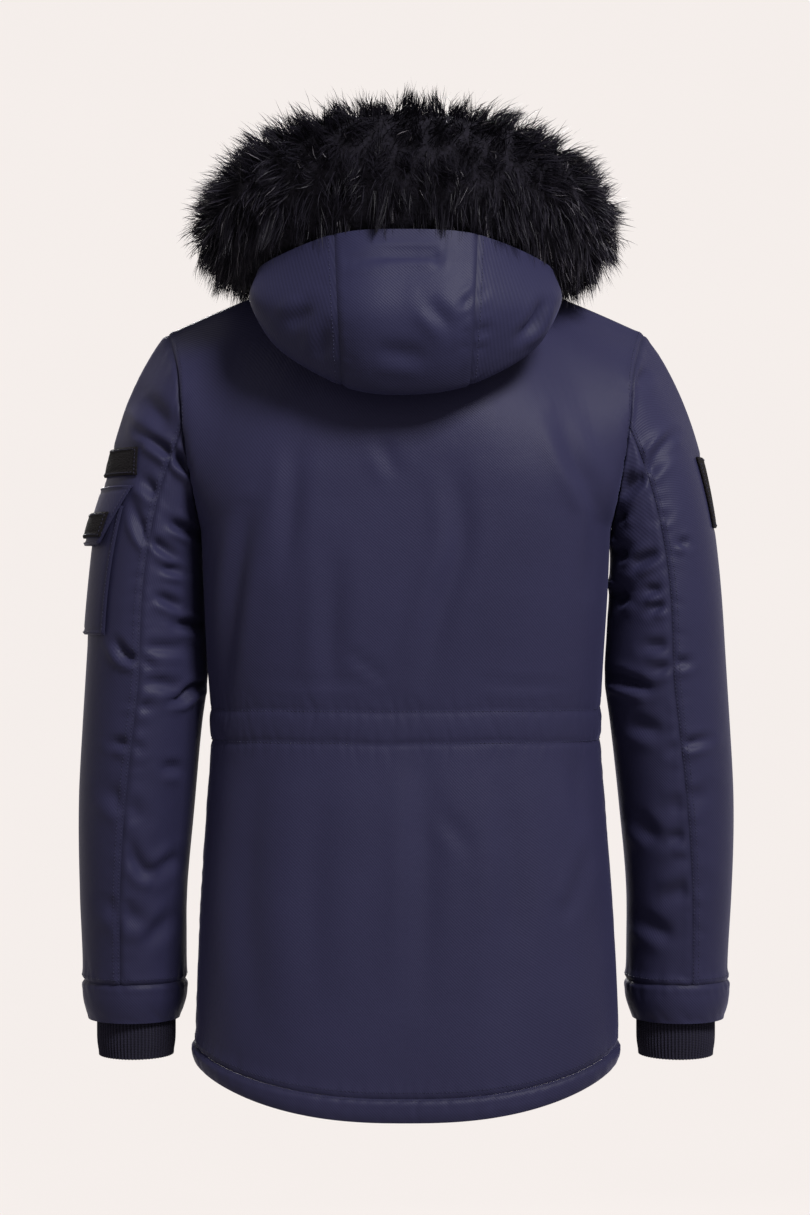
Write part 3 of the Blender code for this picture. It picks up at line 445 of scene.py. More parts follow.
def body_point(face, part, row):
    """Outer face of a front or the back; row 0 is the hem seam, 1 the underarm, 2 the top."""
    part, row = np.broadcast_arrays(np.asarray(part, float), np.asarray(row, float))
    low = np.minimum(row, 1)
    centre = HEM_SEAM[face] + (CHEST - HEM_SEAM[face]) * low
    side = HEM_SEAM["side"] + (UNDERARM - HEM_SEAM["side"]) * low
    lower = body_section(face, part, centre + (side - centre) * ease(part))
    way = np.clip(row - 1, 0, 1)
    chest_row = body_section(face, part, CHEST + (UNDERARM - CHEST) * ease(part))
    ends = body_section(face, np.array([0.0, 1.0]), np.array([CHEST, UNDERARM]))
    middle = spline(CENTRE[face][:, 0], CENTRE[face][:, 1:], way)
    middle = np.concatenate([np.full(way.shape + (1,), ends[0, 0]), middle], axis=-1)
    edge = spline(ARMHOLE[face][:, 0], ARMHOLE[face][:, 1:], way)
    tops = top_point(face, np.array([0.0, 1.0]))
    across = (part ** SIDE_PULL)[..., None]
    upwards = (ease(way) * way ** 0.5)[..., None]
    edges = middle * (1 - across) + edge * across
    near_top = (way ** 6)[..., None]
    top = eased_top(face, part) * (1 - near_top) + top_point(face, part) * near_top
    rows = chest_row * (1 - upwards) + top * upwards
    corners_low = ends[0] * (1 - across) + ends[1] * across
    corners_high = tops[0] * (1 - across) + tops[1] * across
    upper = edges + rows - (corners_low * (1 - upwards) + corners_high * upwards)
    return np.where((row <= 1)[..., None], lower, upper)


def band_point(face, part, drop, puff):
    """The hem band; drop runs 0 at its seam to 1 at its lower edge."""
    seam = body_point(face, part, np.zeros_like(part))
    depth = HEM_BAND[face] + (HEM_BAND["side"] - HEM_BAND[face]) * ease(part)
    point = body_section(face, part, seam[..., 2] - depth * drop)
    outward = unit(point * np.array([0.45, 1.0, 0.0]))
    return point + outward * (puff * np.sin(math.pi * drop) ** 0.7)[..., None]


def sleeve_section(turn, height):
    """The left sleeve below the biceps."""
    sizes = spline(SLEEVE_TABLE[:, 0], SLEEVE_TABLE[:, 1:], height)
    x, y, half_width, half_depth, back_turn = np.moveaxis(sizes, -1, 0)
    angle = np.radians(turn + back_turn * np.sin(np.radians(turn)))
    places = (x + half_width * np.cos(angle), y + half_depth * np.sin(angle), height)
    return np.stack(np.broadcast_arrays(*places), axis=-1)


def sleeve_point(turn, way):
    """Outer face of the left sleeve; way 0 is the armhole, 1 the biceps, 2 the cuff seam."""
    turn, way = np.broadcast_arrays(np.asarray(turn, float), np.asarray(way, float))
    turn = np.where(turn > 180, turn - 360, turn)
    top = SLEEVE_TABLE[-1, 0]
    lower = sleeve_section(turn, top + (CUFF_SEAM - top) * (np.maximum(way, 1) - 1))
    up = 1 - np.abs(turn) / 180
    start = np.where((turn >= 0)[..., None],
                     spline(ARMHOLE["back"][:, 0], ARMHOLE["back"][:, 1:], up),
                     spline(ARMHOLE["front"][:, 0], ARMHOLE["front"][:, 1:], up))
    first, span = ARMPIT_TURNS
    start = start + (ARMPIT_GAP * ease((np.abs(turn) - first) / span))[..., None] * np.array([1.0, 0, 0])
    end = sleeve_section(turn, np.full_like(turn, top))
    below = sleeve_section(turn, np.full_like(turn, top - 0.02))
    length = np.linalg.norm(end - start, axis=-1, keepdims=True)
    level, extra, power = LEAN
    outward = level + extra * ((1 + np.cos(np.radians(turn))) / 2) ** power
    leave = unit(np.stack([outward, 0 * outward, -1 + 0 * outward], axis=-1)) * length
    arrive = unit(below - end) * length
    f = np.clip(way, 0, 1)[..., None]
    upper = ((2 * f**3 - 3 * f**2 + 1) * start + (f**3 - 2 * f**2 + f) * leave
             + (3 * f**2 - 2 * f**3) * end + (f**3 - f**2) * arrive)
    return np.where((way >= 1)[..., None], lower, upper)


def sleeve_lifted(turn, height, lift):
    """Places on the left sleeve at given heights, moved out from it."""
    turn, height = np.broadcast_arrays(np.asarray(turn, float), np.asarray(height, float))
    low = np.zeros_like(turn)
    high = np.full_like(turn, 2.0)
    for _ in range(30):
        middle = (low + high) / 2
        above = sleeve_point(turn, middle)[..., 2] > height
        low = np.where(above, middle, low)
        high = np.where(above, high, middle)
    way = (low + high) / 2
    here = sleeve_point(turn, way)
    around = sleeve_point(turn + 1, way) - sleeve_point(turn - 1, way)
    down = sleeve_point(turn, np.minimum(way + 0.02, 2)) - sleeve_point(turn, np.maximum(way - 0.02, 0))
    normal = unit(np.cross(down, around))
    normal = normal * np.where(normal[..., :1] < 0, -1.0, 1.0)
    return here + normal * np.asarray(lift)[..., None]


def hood_point(index, way):
    """Outer face of the hood; index 0 is the centre front, 8 the centre back, 16 the other front."""
    index = np.asarray(index, float)
    mirror = index > 8
    folded = np.where(mirror, 16 - index, index)
    neck = np.where((folded <= 4)[..., None],
                    neck_point("front", np.clip(folded / 4, 0, 1)),
                    neck_point("back", np.clip(2 - folded / 4, 0, 1)))
    stations = np.array([row[0] for row in HOOD_TABLE], float)
    knots = np.concatenate([stations, 16 - stations[:-1][::-1]])
    places = [neck]
    for k in range(1, 6):
        values = np.array([row[k] for row in HOOD_TABLE])
        values = np.concatenate([values, values[:-1][::-1] * MIRROR])
        places.append(spline(knots, values, folded))
    places = np.stack(places)
    flat = places.reshape(len(places), -1)
    result = spline(np.linspace(0, 1, len(places)), flat, way)
    result = result.reshape(len(way), len(index), 3).transpose(1, 0, 2)
    side = np.where(mirror, -1.0, 1.0)[:, None]
    return result * np.stack([side, 1 + 0 * side, 1 + 0 * side], axis=-1)


# ---------------------------------------------------------------- creases and puckers
def seen_square(points):
    """x and height of places as they show to an eye three metres behind the coat."""
    grow = VIEW_DISTANCE / (VIEW_DISTANCE - points[..., 1])
    return np.stack([points[..., 0] * grow, VIEW_HEIGHT + (points[..., 2] - VIEW_HEIGHT) * grow], axis=-1)


def creased(seen, strokes, facing):
    """Height of the cloth's face over its form, from troughs with a rise on each side."""
    total = np.zeros(seen.shape[:-1])
    for path, width, depth in strokes:
        path = np.array(path)
        ways = np.linspace(0, 1, CREASE_SAMPLES)
        line = spline(np.linspace(0, 1, len(path)), path, ways)
        reach = 4.5 * width
        near = np.all((seen > line.min(axis=0) - reach) & (seen < line.max(axis=0) + reach), axis=-1)
        if not near.any():
            continue
        spots = seen[near]
        gaps = np.linalg.norm(spots[:, None] - line[None], axis=-1)
        pick = gaps.argmin(axis=1)
        tangent = unit(np.gradient(line, axis=0))[pick]
        aside = spots - line[pick]
        sign = np.sign(tangent[:, 0] * aside[:, 1] - tangent[:, 1] * aside[:, 0])
        q = gaps.min(axis=1) / (width * CREASE_WIDTH)
        rise, place, narrow = RIDGE
        shape = -np.exp(-q * q) + rise * (1 + 0.45 * sign) * np.exp(-narrow * (q - place) ** 2)
        taper = np.sin(math.pi * np.clip(ways[pick] * 0.94 + 0.03, 0, 1)) ** 0.7
        total[near] += CREASE_GAIN * depth * shape * taper
    return total * facing


def puckered(run, distance, pitch, reach, height, seed):
    """Short troughs square to a seam, uneven in spacing, length and depth."""
    rng = np.random.default_rng(seed)
    total = np.zeros(np.broadcast(run, distance).shape)
    place = pitch * rng.uniform(0.2, 0.8)
    while place < run.max():
        size = rng.uniform(0.25, 1.0)
        length = reach * rng.uniform(0.5, 1.3)
        width = pitch * rng.uniform(0.22, 0.34)
        drift = rng.uniform(-0.35, 0.35)
        offset = (run - place - drift * distance) / width
        total -= height * size * np.exp(-offset ** 2 - (distance / length) ** 2)
        place += pitch * rng.uniform(0.6, 1.5)
    return total * faded(distance, 0.0024)


def seam_groove(distance, depth=0.0016, width=0.0018, roll=0.0008, roll_place=0.0050):
    """A seam's groove with the turned allowance showing as a soft roll beside it."""
    roll_part = roll * np.exp(-((distance - roll_place) / 0.0038) ** 2)
    return roll_part - depth * np.exp(-(distance / width) ** 2)


def faded(distance, width):
    """0 on a seam, rising to 1 a little way from it."""
    return 1 - np.exp(-(distance / width) ** 2)


def casing(points, run, seed):
    """Waist casing: two stitched rows with a soft tunnel and fine gathers between and beside."""
    z = points[..., 2] + 0.0010 * np.sin(run * 31.0) + 0.0006 * np.sin(run * 83.0)
    share = (z - CASING_FOOT) / (CASING_TOP - CASING_FOOT)
    tunnel = 0.0013 * np.sin(math.pi * np.clip(share, 0, 1)) ** 0.8
    total = tunnel
    for row, strength, number in ((CASING_TOP, 0.0009, 0), (CASING_FOOT, 0.0013, 1)):
        away = np.abs(z - row)
        total = total - strength * np.exp(-(away / 0.0028) ** 2)
        total = total + puckered(run, away, 0.0090, 0.0125, 0.0012, seed + number)
    return total


def soft_waves(points, seed, height, size):
    """Large soft unevenness of hanging cloth."""
    rng = np.random.default_rng(seed)
    total = np.zeros(points.shape[:-1])
    for _ in range(7):
        way = rng.normal(size=3) * np.array([1.0, 0.6, 0.55]) / size
        total += np.sin(points @ way + rng.uniform(0, 2 * math.pi))
    return total * height / 3.0


# ---------------------------------------------------------------- meshes
SHOWN = {}                   # the finished outer face of each panel, for its stitching


def finished(piece, body, nodes):
    """Say what a piece rides on, and hide the CAD nodes that it stands for."""
    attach(piece, body)
    if nodes:
        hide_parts(*nodes)
    return piece


def new_piece(name, mesh, materials):
    """Link a mesh as an object with its materials."""
    for material in materials:
        mesh.materials.append(material)
    piece = bpy.data.objects.new(name + "_piece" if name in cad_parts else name, mesh)
    bpy.context.scene.collection.objects.link(piece)
    return piece


def cloth_mesh(name, points, seam, closed=False):
    """A grid of cloth with its UV map in metres and its seam attribute, the mask for painted shade."""
    columns, rows = points.shape[:2]
    work = bmesh.new()
    bmesh.ops.create_grid(work, x_segments=columns - 1, y_segments=rows - 1, size=1.0)
    mesh = bpy.data.meshes.new(name)
    work.to_mesh(mesh)
    work.free()
    flat = np.zeros(len(mesh.vertices) * 3)
    mesh.vertices.foreach_get("co", flat)
    flat = flat.reshape(-1, 3)
    i = np.rint((flat[:, 0] + 1) / 2 * (columns - 1)).astype(int)
    k = np.rint((flat[:, 1] + 1) / 2 * (rows - 1)).astype(int)
    mesh.vertices.foreach_set("co", points[i, k].ravel())
    across = runs(points, 0)
    upwards = runs(points, 1)
    layout = np.stack([np.broadcast_to(across[:, rows // 2][:, None], (columns, rows)),
                       np.broadcast_to(upwards[columns // 2][None], (columns, rows))], axis=-1)
    loops = np.zeros(len(mesh.loops), dtype=np.int32)
    mesh.loops.foreach_get("vertex_index", loops)
    layer = mesh.uv_layers.new(name="cloth")
    layer.data.foreach_set("uv", layout[i, k][loops].ravel())
    attribute = mesh.attributes.new("seam", "FLOAT", "POINT")
    attribute.data.foreach_set("value", seam[i, k].astype(np.float32).ravel())
    if closed:
        work = bmesh.new()
        work.from_mesh(mesh)
        bmesh.ops.remove_doubles(work, verts=work.verts, dist=1e-6)
        work.to_mesh(mesh)
        work.free()
    mesh.shade_smooth()
    mesh.update()
    return mesh


def thicken(piece, wall, inside=1):
    """Give a sheet its thickness on the inner side."""
    work = bmesh.new()
    work.from_mesh(piece.data)
    for edge in work.edges:
        edge.smooth = not edge.is_boundary
    work.to_mesh(piece.data)
    work.free()
    solid = piece.modifiers.new("wall", "SOLIDIFY")
    solid.thickness = wall
    solid.offset = -1.0
    solid.material_offset = inside
    solid.material_offset_rim = 0
    return solid


# ---------------------------------------------------------------- materials
class Finish:
    """A material under construction."""

    def __init__(self, name):
        self.material = bpy.data.materials.new(name)
        self.material.use_nodes = True
        self.tree = self.material.node_tree
        self.shader = self.tree.nodes["Principled BSDF"]
        self.last_bump = None

    def node(self, kind, **settings):
        made = self.tree.nodes.new(kind)
        for key, value in settings.items():
            setattr(made, key, value)
        return made

    def join(self, source, target):
        self.tree.links.new(source, target)

    def set(self, **values):
        for key, value in values.items():
            socket = self.shader.inputs[key.replace("_", " ")]
            if isinstance(value, (tuple, list)) and len(value) == 3:
                value = (*value, 1.0)
            socket.default_value = value

    def bump(self, height, distance, strength=1.0):
        made = self.node("ShaderNodeBump")
        made.inputs["Distance"].default_value = distance
        made.inputs["Strength"].default_value = strength
        self.join(height, made.inputs["Height"])
        if self.last_bump:
            self.join(self.last_bump, made.inputs["Normal"])
        self.last_bump = made.outputs["Normal"]
        self.join(self.last_bump, self.shader.inputs["Normal"])

    def noise(self, source, scale, detail=2.0, rough=0.5):
        made = self.node("ShaderNodeTexNoise")
        made.inputs["Scale"].default_value = scale
        made.inputs["Detail"].default_value = detail
        made.inputs["Roughness"].default_value = rough
        self.join(source, made.inputs["Vector"])
        return made.outputs["Fac"]

    def ramp(self, source, stops):
        made = self.node("ShaderNodeValToRGB")
        bar = made.color_ramp
        while len(bar.elements) < len(stops):
            bar.elements.new(0.5)
        for element, (place, colour) in zip(bar.elements, stops):
            element.position = place
            element.color = (*colour, 1.0)
        self.join(source, made.inputs["Fac"])
        return made.outputs["Color"]

    def mix(self, share, first, second):
        made = self.node("ShaderNodeMix", data_type="RGBA")
        for socket, value in ((made.inputs[0], share), (made.inputs[6], first), (made.inputs[7], second)):
            if isinstance(value, bpy.types.NodeSocket):
                self.join(value, socket)
            elif isinstance(value, (tuple, list)):
                socket.default_value = (*value, 1.0)
            else:
                socket.default_value = value
        return made.outputs[2]


def scaled(colour, factor):
    """A colour made lighter or darker."""
    return tuple(min(part * factor, 1.0) for part in colour)


def twill_finish(name, colour, pitch, rough=0.50, sheen=0.035):
    """Fine diagonal twill with a soft satin sheen, and painted shade darkening it along its seams."""
    made = Finish(name)
    objects = made.node("ShaderNodeTexCoord").outputs["Object"]
    layout = made.node("ShaderNodeUVMap", uv_map="cloth").outputs["UV"]
    wave = made.node("ShaderNodeTexWave", wave_type="BANDS", bands_direction="DIAGONAL")
    wave.inputs["Scale"].default_value = 2 * math.pi / 20 / pitch / math.sqrt(2)
    wave.inputs["Distortion"].default_value = 0.6
    wave.inputs["Detail"].default_value = 1.0
    made.join(layout, wave.inputs["Vector"])
    cloudy = made.noise(objects, 9.0, 3.0)
    fine = made.noise(objects, 700.0, 2.0, 0.7)
    seam = made.node("ShaderNodeAttribute", attribute_name="seam").outputs["Fac"]
    tone = made.ramp(cloudy, ((0.30, scaled(colour, 0.90)), (0.70, scaled(colour, 1.10))))
    tone = made.mix(fine, tone, made.mix(0.5, tone, scaled(colour, 1.5)))
    tone = made.mix(made.ramp(wave.outputs["Fac"], ((0.2, (0.0, 0.0, 0.0)), (0.9, (0.22, 0.22, 0.22)))),
                    tone, scaled(colour, 1.7))
    # painted shade: the colour darkens towards 0.55 of itself on and beside each seam, by the seam
    # attribute
    tone = made.mix(made.ramp(seam, ((0.0, (0.0, 0.0, 0.0)), (1.0, (0.35, 0.35, 0.35)))),
                    tone, scaled(colour, 0.55))
    made.join(tone, made.shader.inputs["Base Color"])
    made.set(Roughness=rough, Sheen_Weight=sheen, Sheen_Roughness=0.40, Sheen_Tint=(0.45, 0.45, 1.0),
             Specular_IOR_Level=0.045)
    made.bump(made.noise(objects, 46.0, 3.0), 0.0007, 0.55)
    made.bump(wave.outputs["Fac"], 0.00016, 0.6)
    made.bump(fine, 0.00012, 0.6)
    return made.material


def mottled_finish(name, colour, marks, dark, pale, bump, grain=None, **values):
    """A plain finish, mottled from a darker tone of its colour to a paler one.

    The marks are a noise's scale, detail and roughness. Dark and pale are each a place on
    that noise and a factor on the colour. The bump is a depth and a strength, over the
    grain's own noise where there is one.
    """
    made = Finish(name)
    objects = made.node("ShaderNodeTexCoord").outputs["Object"]
    noise = made.noise(objects, *marks)
    stops = tuple((place, scaled(colour, factor)) for place, factor in (dark, pale))
    made.join(made.ramp(noise, stops), made.shader.inputs["Base Color"])
    made.set(**values)
    made.bump(made.noise(objects, *grain) if grain else noise, *bump)
    return made.material


def knit_finish(colour):
    """Ribbed knit: stitches along each rib, a soft fuzz, and painted shade in the valleys between ribs with
    a painted highlight on their tops.
    """
    made = Finish("knit")
    objects = made.node("ShaderNodeTexCoord").outputs["Object"]
    layout = made.node("ShaderNodeUVMap", uv_map="cloth").outputs["UV"]
    wave = made.node("ShaderNodeTexWave", wave_type="BANDS", bands_direction="Y")
    wave.inputs["Scale"].default_value = 2 * math.pi / 20 / 0.0017
    wave.inputs["Distortion"].default_value = 1.5
    wave.inputs["Detail Scale"].default_value = 3.0
    made.join(layout, wave.inputs["Vector"])
    seam = made.node("ShaderNodeAttribute", attribute_name="seam").outputs["Fac"]
    # painted highlight on the rib tops (colour × 1.9) and painted shade in the valleys (colour × 0.35), by
    # the rib share in the seam attribute
    tone = made.ramp(seam, ((0.0, scaled(colour, 1.9)), (1.0, scaled(colour, 0.35))))
    tone = made.mix(made.noise(objects, 900.0, 2.0), tone, scaled(colour, 1.5))
    made.join(tone, made.shader.inputs["Base Color"])
    made.set(Roughness=0.9, Specular_IOR_Level=0.05, Sheen_Weight=0.015, Sheen_Roughness=0.6)
    made.bump(wave.outputs["Fac"], 0.0005, 0.6)
    made.bump(made.noise(objects, 900.0), 0.0003, 0.6)
    return made.material


def pile_finish(colour):
    """Hook-and-loop: a mat of small loops."""
    made = Finish("loop_pile")
    objects = made.node("ShaderNodeTexCoord").outputs["Object"]
    cells = made.node("ShaderNodeTexVoronoi", feature="F1")
    cells.inputs["Scale"].default_value = 620.0
    made.join(objects, cells.inputs["Vector"])
    tone = made.ramp(cells.outputs["Distance"], ((0.1, scaled(colour, 2.2)), (0.7, scaled(colour, 0.5))))
    made.join(tone, made.shader.inputs["Base Color"])
    made.set(Roughness=0.95, Specular_IOR_Level=0.05, Sheen_Weight=0.008, Sheen_Roughness=0.5)
    made.bump(cells.outputs["Distance"], 0.0007, 0.8)
    made.bump(made.noise(objects, 1500.0), 0.0003, 0.7)
    return made.material


def tape_finish(colour):
    """Woven zip tape in a fine herringbone."""
    made = Finish("zip_tape")
    objects = made.node("ShaderNodeTexCoord").outputs["Object"]
    wave = made.node("ShaderNodeTexWave", wave_type="BANDS", bands_direction="Z")
    wave.inputs["Scale"].default_value = 2 * math.pi / 20 / 0.0009
    wave.inputs["Distortion"].default_value = 2.0
    made.join(objects, wave.inputs["Vector"])
    tone = made.ramp(wave.outputs["Fac"], ((0.2, scaled(colour, 0.7)), (0.8, scaled(colour, 1.5))))
    made.join(tone, made.shader.inputs["Base Color"])
    made.set(Roughness=0.8)
    made.bump(wave.outputs["Fac"], 0.0002, 0.6)
    return made.material


def fur_finish(dark, light):
    """Hair colour along each hair, from a dark root to a paler tip on the guard hairs, with painted shade,
    darker at the fur's middle, carried in its tone.
    """
    made = Finish("fur")
    tone = made.node("ShaderNodeAttribute", attribute_name="tone").outputs["Fac"]
    colour = made.ramp(tone, ((0.0, dark), (0.45, scaled(dark, 2.4)), (1.0, light)))
    made.join(colour, made.shader.inputs["Base Color"])
    made.set(Roughness=0.42, Specular_IOR_Level=0.035)
    return made.material


FINISHES = {}


def finish(name):
    """A finish by name, made once."""
    cloth = bpy.context.scene.parka_cloth
    trim = bpy.context.scene.parka_trim
    if name not in FINISHES:
        makers = {
            "shell": lambda: twill_finish("shell", tuple(cloth.shell), cloth.twill),
            "hood_shell": lambda: twill_finish("hood_shell", tuple(cloth.hood), cloth.twill, sheen=0.03),
            # smooth lining, quilted to the wadding
            "lining": lambda: mottled_finish(
                "lining", tuple(cloth.lining), marks=(20.0, 3.0), dark=(0.3, 0.85), pale=(0.7, 1.2),
                bump=(0.0006, 0.5), grain=(60.0, 2.0), Roughness=0.45, Specular_IOR_Level=0.15),
            # twisted sewing thread
            "thread": lambda: mottled_finish(
                "thread", tuple(cloth.thread), marks=(1800.0,), dark=(0.3, 0.7), pale=(0.7, 1.4),
                bump=(0.0001, 0.5), grain=(2600.0,), Roughness=0.5, Specular_IOR_Level=0.12),
            "knit": lambda: knit_finish(tuple(trim.knit)),
            "loop_pile": lambda: pile_finish(tuple(trim.pile)),
            "fur": lambda: fur_finish(tuple(trim.fur_dark), tuple(trim.fur_light)),
            # dense dark underwool
            "underfur": lambda: mottled_finish(
                "underfur", tuple(trim.fur_dark), marks=(260.0, 4.0, 0.7), dark=(0.35, 0.5),
                pale=(0.75, 2.0), bump=(0.002, 0.8), Roughness=0.95, Specular_IOR_Level=0.05),
            # cast metal, brushed and mottled a little darker and paler
            "zip_metal": lambda: mottled_finish(
                "zip_metal", tuple(trim.metal), marks=(900.0, 3.0), dark=(0.3, 0.75), pale=(0.7, 1.15),
                bump=(0.00005, 0.5), Metallic=1.0, Roughness=0.34),
            "zip_tape": lambda: tape_finish(tuple(trim.pile)),
        }
        FINISHES[name] = makers[name]()
    return FINISHES[name]


# ---------------------------------------------------------------- panels
def side_of(name):
    """1 for the wearer's left, -1 for the right, 0 for the middle."""
    return 1 if "left" in name else -1 if "right" in name else 0


def put_panel(name, form, height, seam, material, wall, closed=False, level=None):
    """Raise a panel's creases on its form and make it a piece of cloth."""
    normal = normals_of(form)
    if level is not None:
        normal = unit(normal * np.stack([1 + 0 * level, 1 + 0 * level, 1 - level], axis=-1))
    shown = form + normal * height[..., None]
    if closed:
        shown[-1] = shown[0]
    SHOWN[name] = (shown, normal)
    mesh = cloth_mesh(name, shown, seam, closed)
    piece = new_piece(name, mesh, [finish(material), finish("lining")])
    thicken(piece, wall)
    finished(piece, "parka", [name])
    return piece


def near_foot(form):
    """1 at a panel's lower edge, where it is raised level with what is sewn to it."""
    return np.exp(-(runs(form, 1) / 0.012) ** 2)


def seam_shade_share(*distances):
    """How close each place is to a seam, 1 on it: the mask for the shade that the twill paints along seams.
    """
    nearest = np.minimum.reduce(list(distances))
    return np.exp(-(nearest / 0.0035) ** 2)


def edge_distances(form):
    """Distances from the first, last, low and high edges of a panel."""
    across = runs(form, 0)
    upwards = runs(form, 1)
    return across, across[-1:] - across, upwards, upwards[:, -1:] - upwards


def body_parts(face, count):
    """Even steps across a half panel, measured round the chest."""
    fine = np.linspace(0, 1, 600)
    line = body_point(face, fine[:, None], np.array([[0.7]]))[:, :1]
    run = runs(line, 0)[:, 0]
    return np.interp(np.linspace(0, run[-1], count + 1), run, fine)


def body_rows(count):
    """Rows of a body panel, closer at the casing and along its seams."""
    low_span = CHEST - HEM_SEAM["back"]
    waist = (CASING_TOP + CASING_FOOT) / 2
    waist_row = (waist - HEM_SEAM["back"]) / low_span / 2
    return 2 * graded(count, ((waist_row, 0.028, 2.6), (0.0, 0.010, 1.5), (1.0, 0.012, 1.5)))


def body_height(name, form, face, strokes):
    """Everything that raises or presses a body panel's face."""
    first, last, low, high = edge_distances(form)
    normal = normals_of(form)
    across, upwards = runs(form, 0), runs(form, 1)
    seed = sum(map(ord, name))
    if face == "back":
        seen = np.clip((normal[..., 1] + 0.1) / 0.4, 0, 1)
        height = creased(seen_square(form), strokes, seen) * BACK_GAIN
    else:
        flat = form[..., [0, 2]]
        height = creased(flat, strokes, np.clip((0.1 - normal[..., 1]) / 0.4, 0, 1))
    round_run = across + 0 * upwards
    edges = (first, last) if face == "back" else (last,)
    height += soft_waves(form, seed, 0.0012, 0.075)
    height *= faded(np.minimum.reduce([*edges, low, high]), 0.009)
    height += casing(form, round_run, seed)
    height += seam_groove(low, 0.0012) + puckered(round_run, low, 0.012, 0.013, 0.0014, seed + 5)
    for number, edge in enumerate(edges):
        height += seam_groove(edge, 0.0015)
        along = upwards + 0 * edge
        height += puckered(along, edge, 0.016, 0.014, 0.0012, seed + 11 + number)
    height += seam_groove(high, 0.0015)
    return height, seam_shade_share(*edges, low, high)


def sleeve_ways(count):
    """Rows of a sleeve, closer at its two ends."""
    return 2 * graded(count, ((0.0, 0.012, 1.5), (1.0, 0.015, 1.5)))[::-1]


def sleeve_panel(name, first_turn, last_turn, columns, rows):
    """A sleeve panel with its creases."""
    side = side_of(name)
    turns = np.linspace(first_turn, last_turn, columns + 1)
    form = sleeve_point(turns[:, None], sleeve_ways(rows)[None])
    if side < 0:
        form = form[::-1] * MIRROR
        turns = turns[::-1]
    normal = normals_of(form)
    first, last, low, high = edge_distances(form)
    across, upwards = runs(form, 0), runs(form, 1)
    seed = sum(map(ord, name))
    rear = np.clip((normal[..., 1] + 0.12) / 0.35, 0, 1)
    strokes = LEFT_SLEEVE_CREASES if side > 0 else RIGHT_SLEEVE_CREASES
    height = creased(seen_square(form), strokes, rear)
    flat = np.stack([form[..., 0] * side, form[..., 2]], axis=-1)
    height += creased(flat, FRONT_SLEEVE_CREASES, np.clip((0.05 - normal[..., 1]) / 0.35, 0, 1))
    height += soft_waves(form, seed, 0.0014, 0.060)
    height *= faded(np.minimum.reduce([first, last, low, high]), 0.006)
    for number, edge in enumerate((first, last)):
        height += seam_groove(edge, 0.0012)
        height += puckered(upwards + 0 * edge, edge, 0.014, 0.012, 0.0018, seed + number)
    height += seam_groove(low, 0.0018) + puckered(across, low, 0.014, 0.014, 0.0014, seed + 3)
    height += seam_groove(high, 0.0018) + puckered(across, high, 0.017, 0.014, 0.0012, seed + 4)
    turned = np.where(turns > 180, turns - 360, turns)[:, None]
    for place, pad in ((POCKET_PLACE, 0.012), (ARM_PATCH_PLACE, 0.006)):
        if side > 0:
            height = flattened(height, turned, form[..., 2], place, pad)
    if side < 0:
        height = flattened(height, turned, form[..., 2], RIGHT_PATCH_PLACE, 0.006)
    put_panel(name, form, height, seam_shade_share(first, last, low, high), "shell",
              bpy.context.scene.parka_cloth.wall, level=near_foot(form))


def flattened(height, turns, levels, place, pad):
    """Keep a sleeve's face from standing proud under what lies on it."""
    (turn_high, turn_low), (level_high, level_low) = place
    inside = (ease((turns - turn_low + 9) / 9) * ease((turn_high + 9 - turns) / 9)
              * ease((levels - level_low + pad) / pad) * ease((level_high + pad - levels) / pad))
    return height * (1 - inside) + np.minimum(height, 0.0004) * inside * 0.4


class PARKA_OT_body(bpy.types.Operator):
    """Back and fronts, each one cut piece with the waist casing sewn inside"""

    bl_idname = "parka.body"
    bl_label = "Back and fronts"

    def execute(self, context):
        wall = context.scene.parka_cloth.wall
        rows = body_rows(150)
        parts = body_parts("back", 116)
        half = body_point("back", parts[::-1][:, None], rows[None])
        form = np.concatenate([half, half[::-1][1:] * MIRROR])
        height, seam = body_height("back", form, "back", BACK_CREASES)
        put_panel("back", form, height, seam, "shell", wall, level=near_foot(form))
        parts = body_parts("front", 72)
        rows = body_rows(130)
        for side, name in ((1, "front_left"), (-1, "front_right")):
            form = body_point("front", parts[:, None], rows[None])
            height, seam = body_height(name, form, "front", FRONT_CREASES)
            if side < 0:
                form, height, seam = form[::-1] * MIRROR, height[::-1], seam[::-1]
            put_panel(name, form, height, seam, "shell", wall, level=near_foot(form))
        return {"FINISHED"}


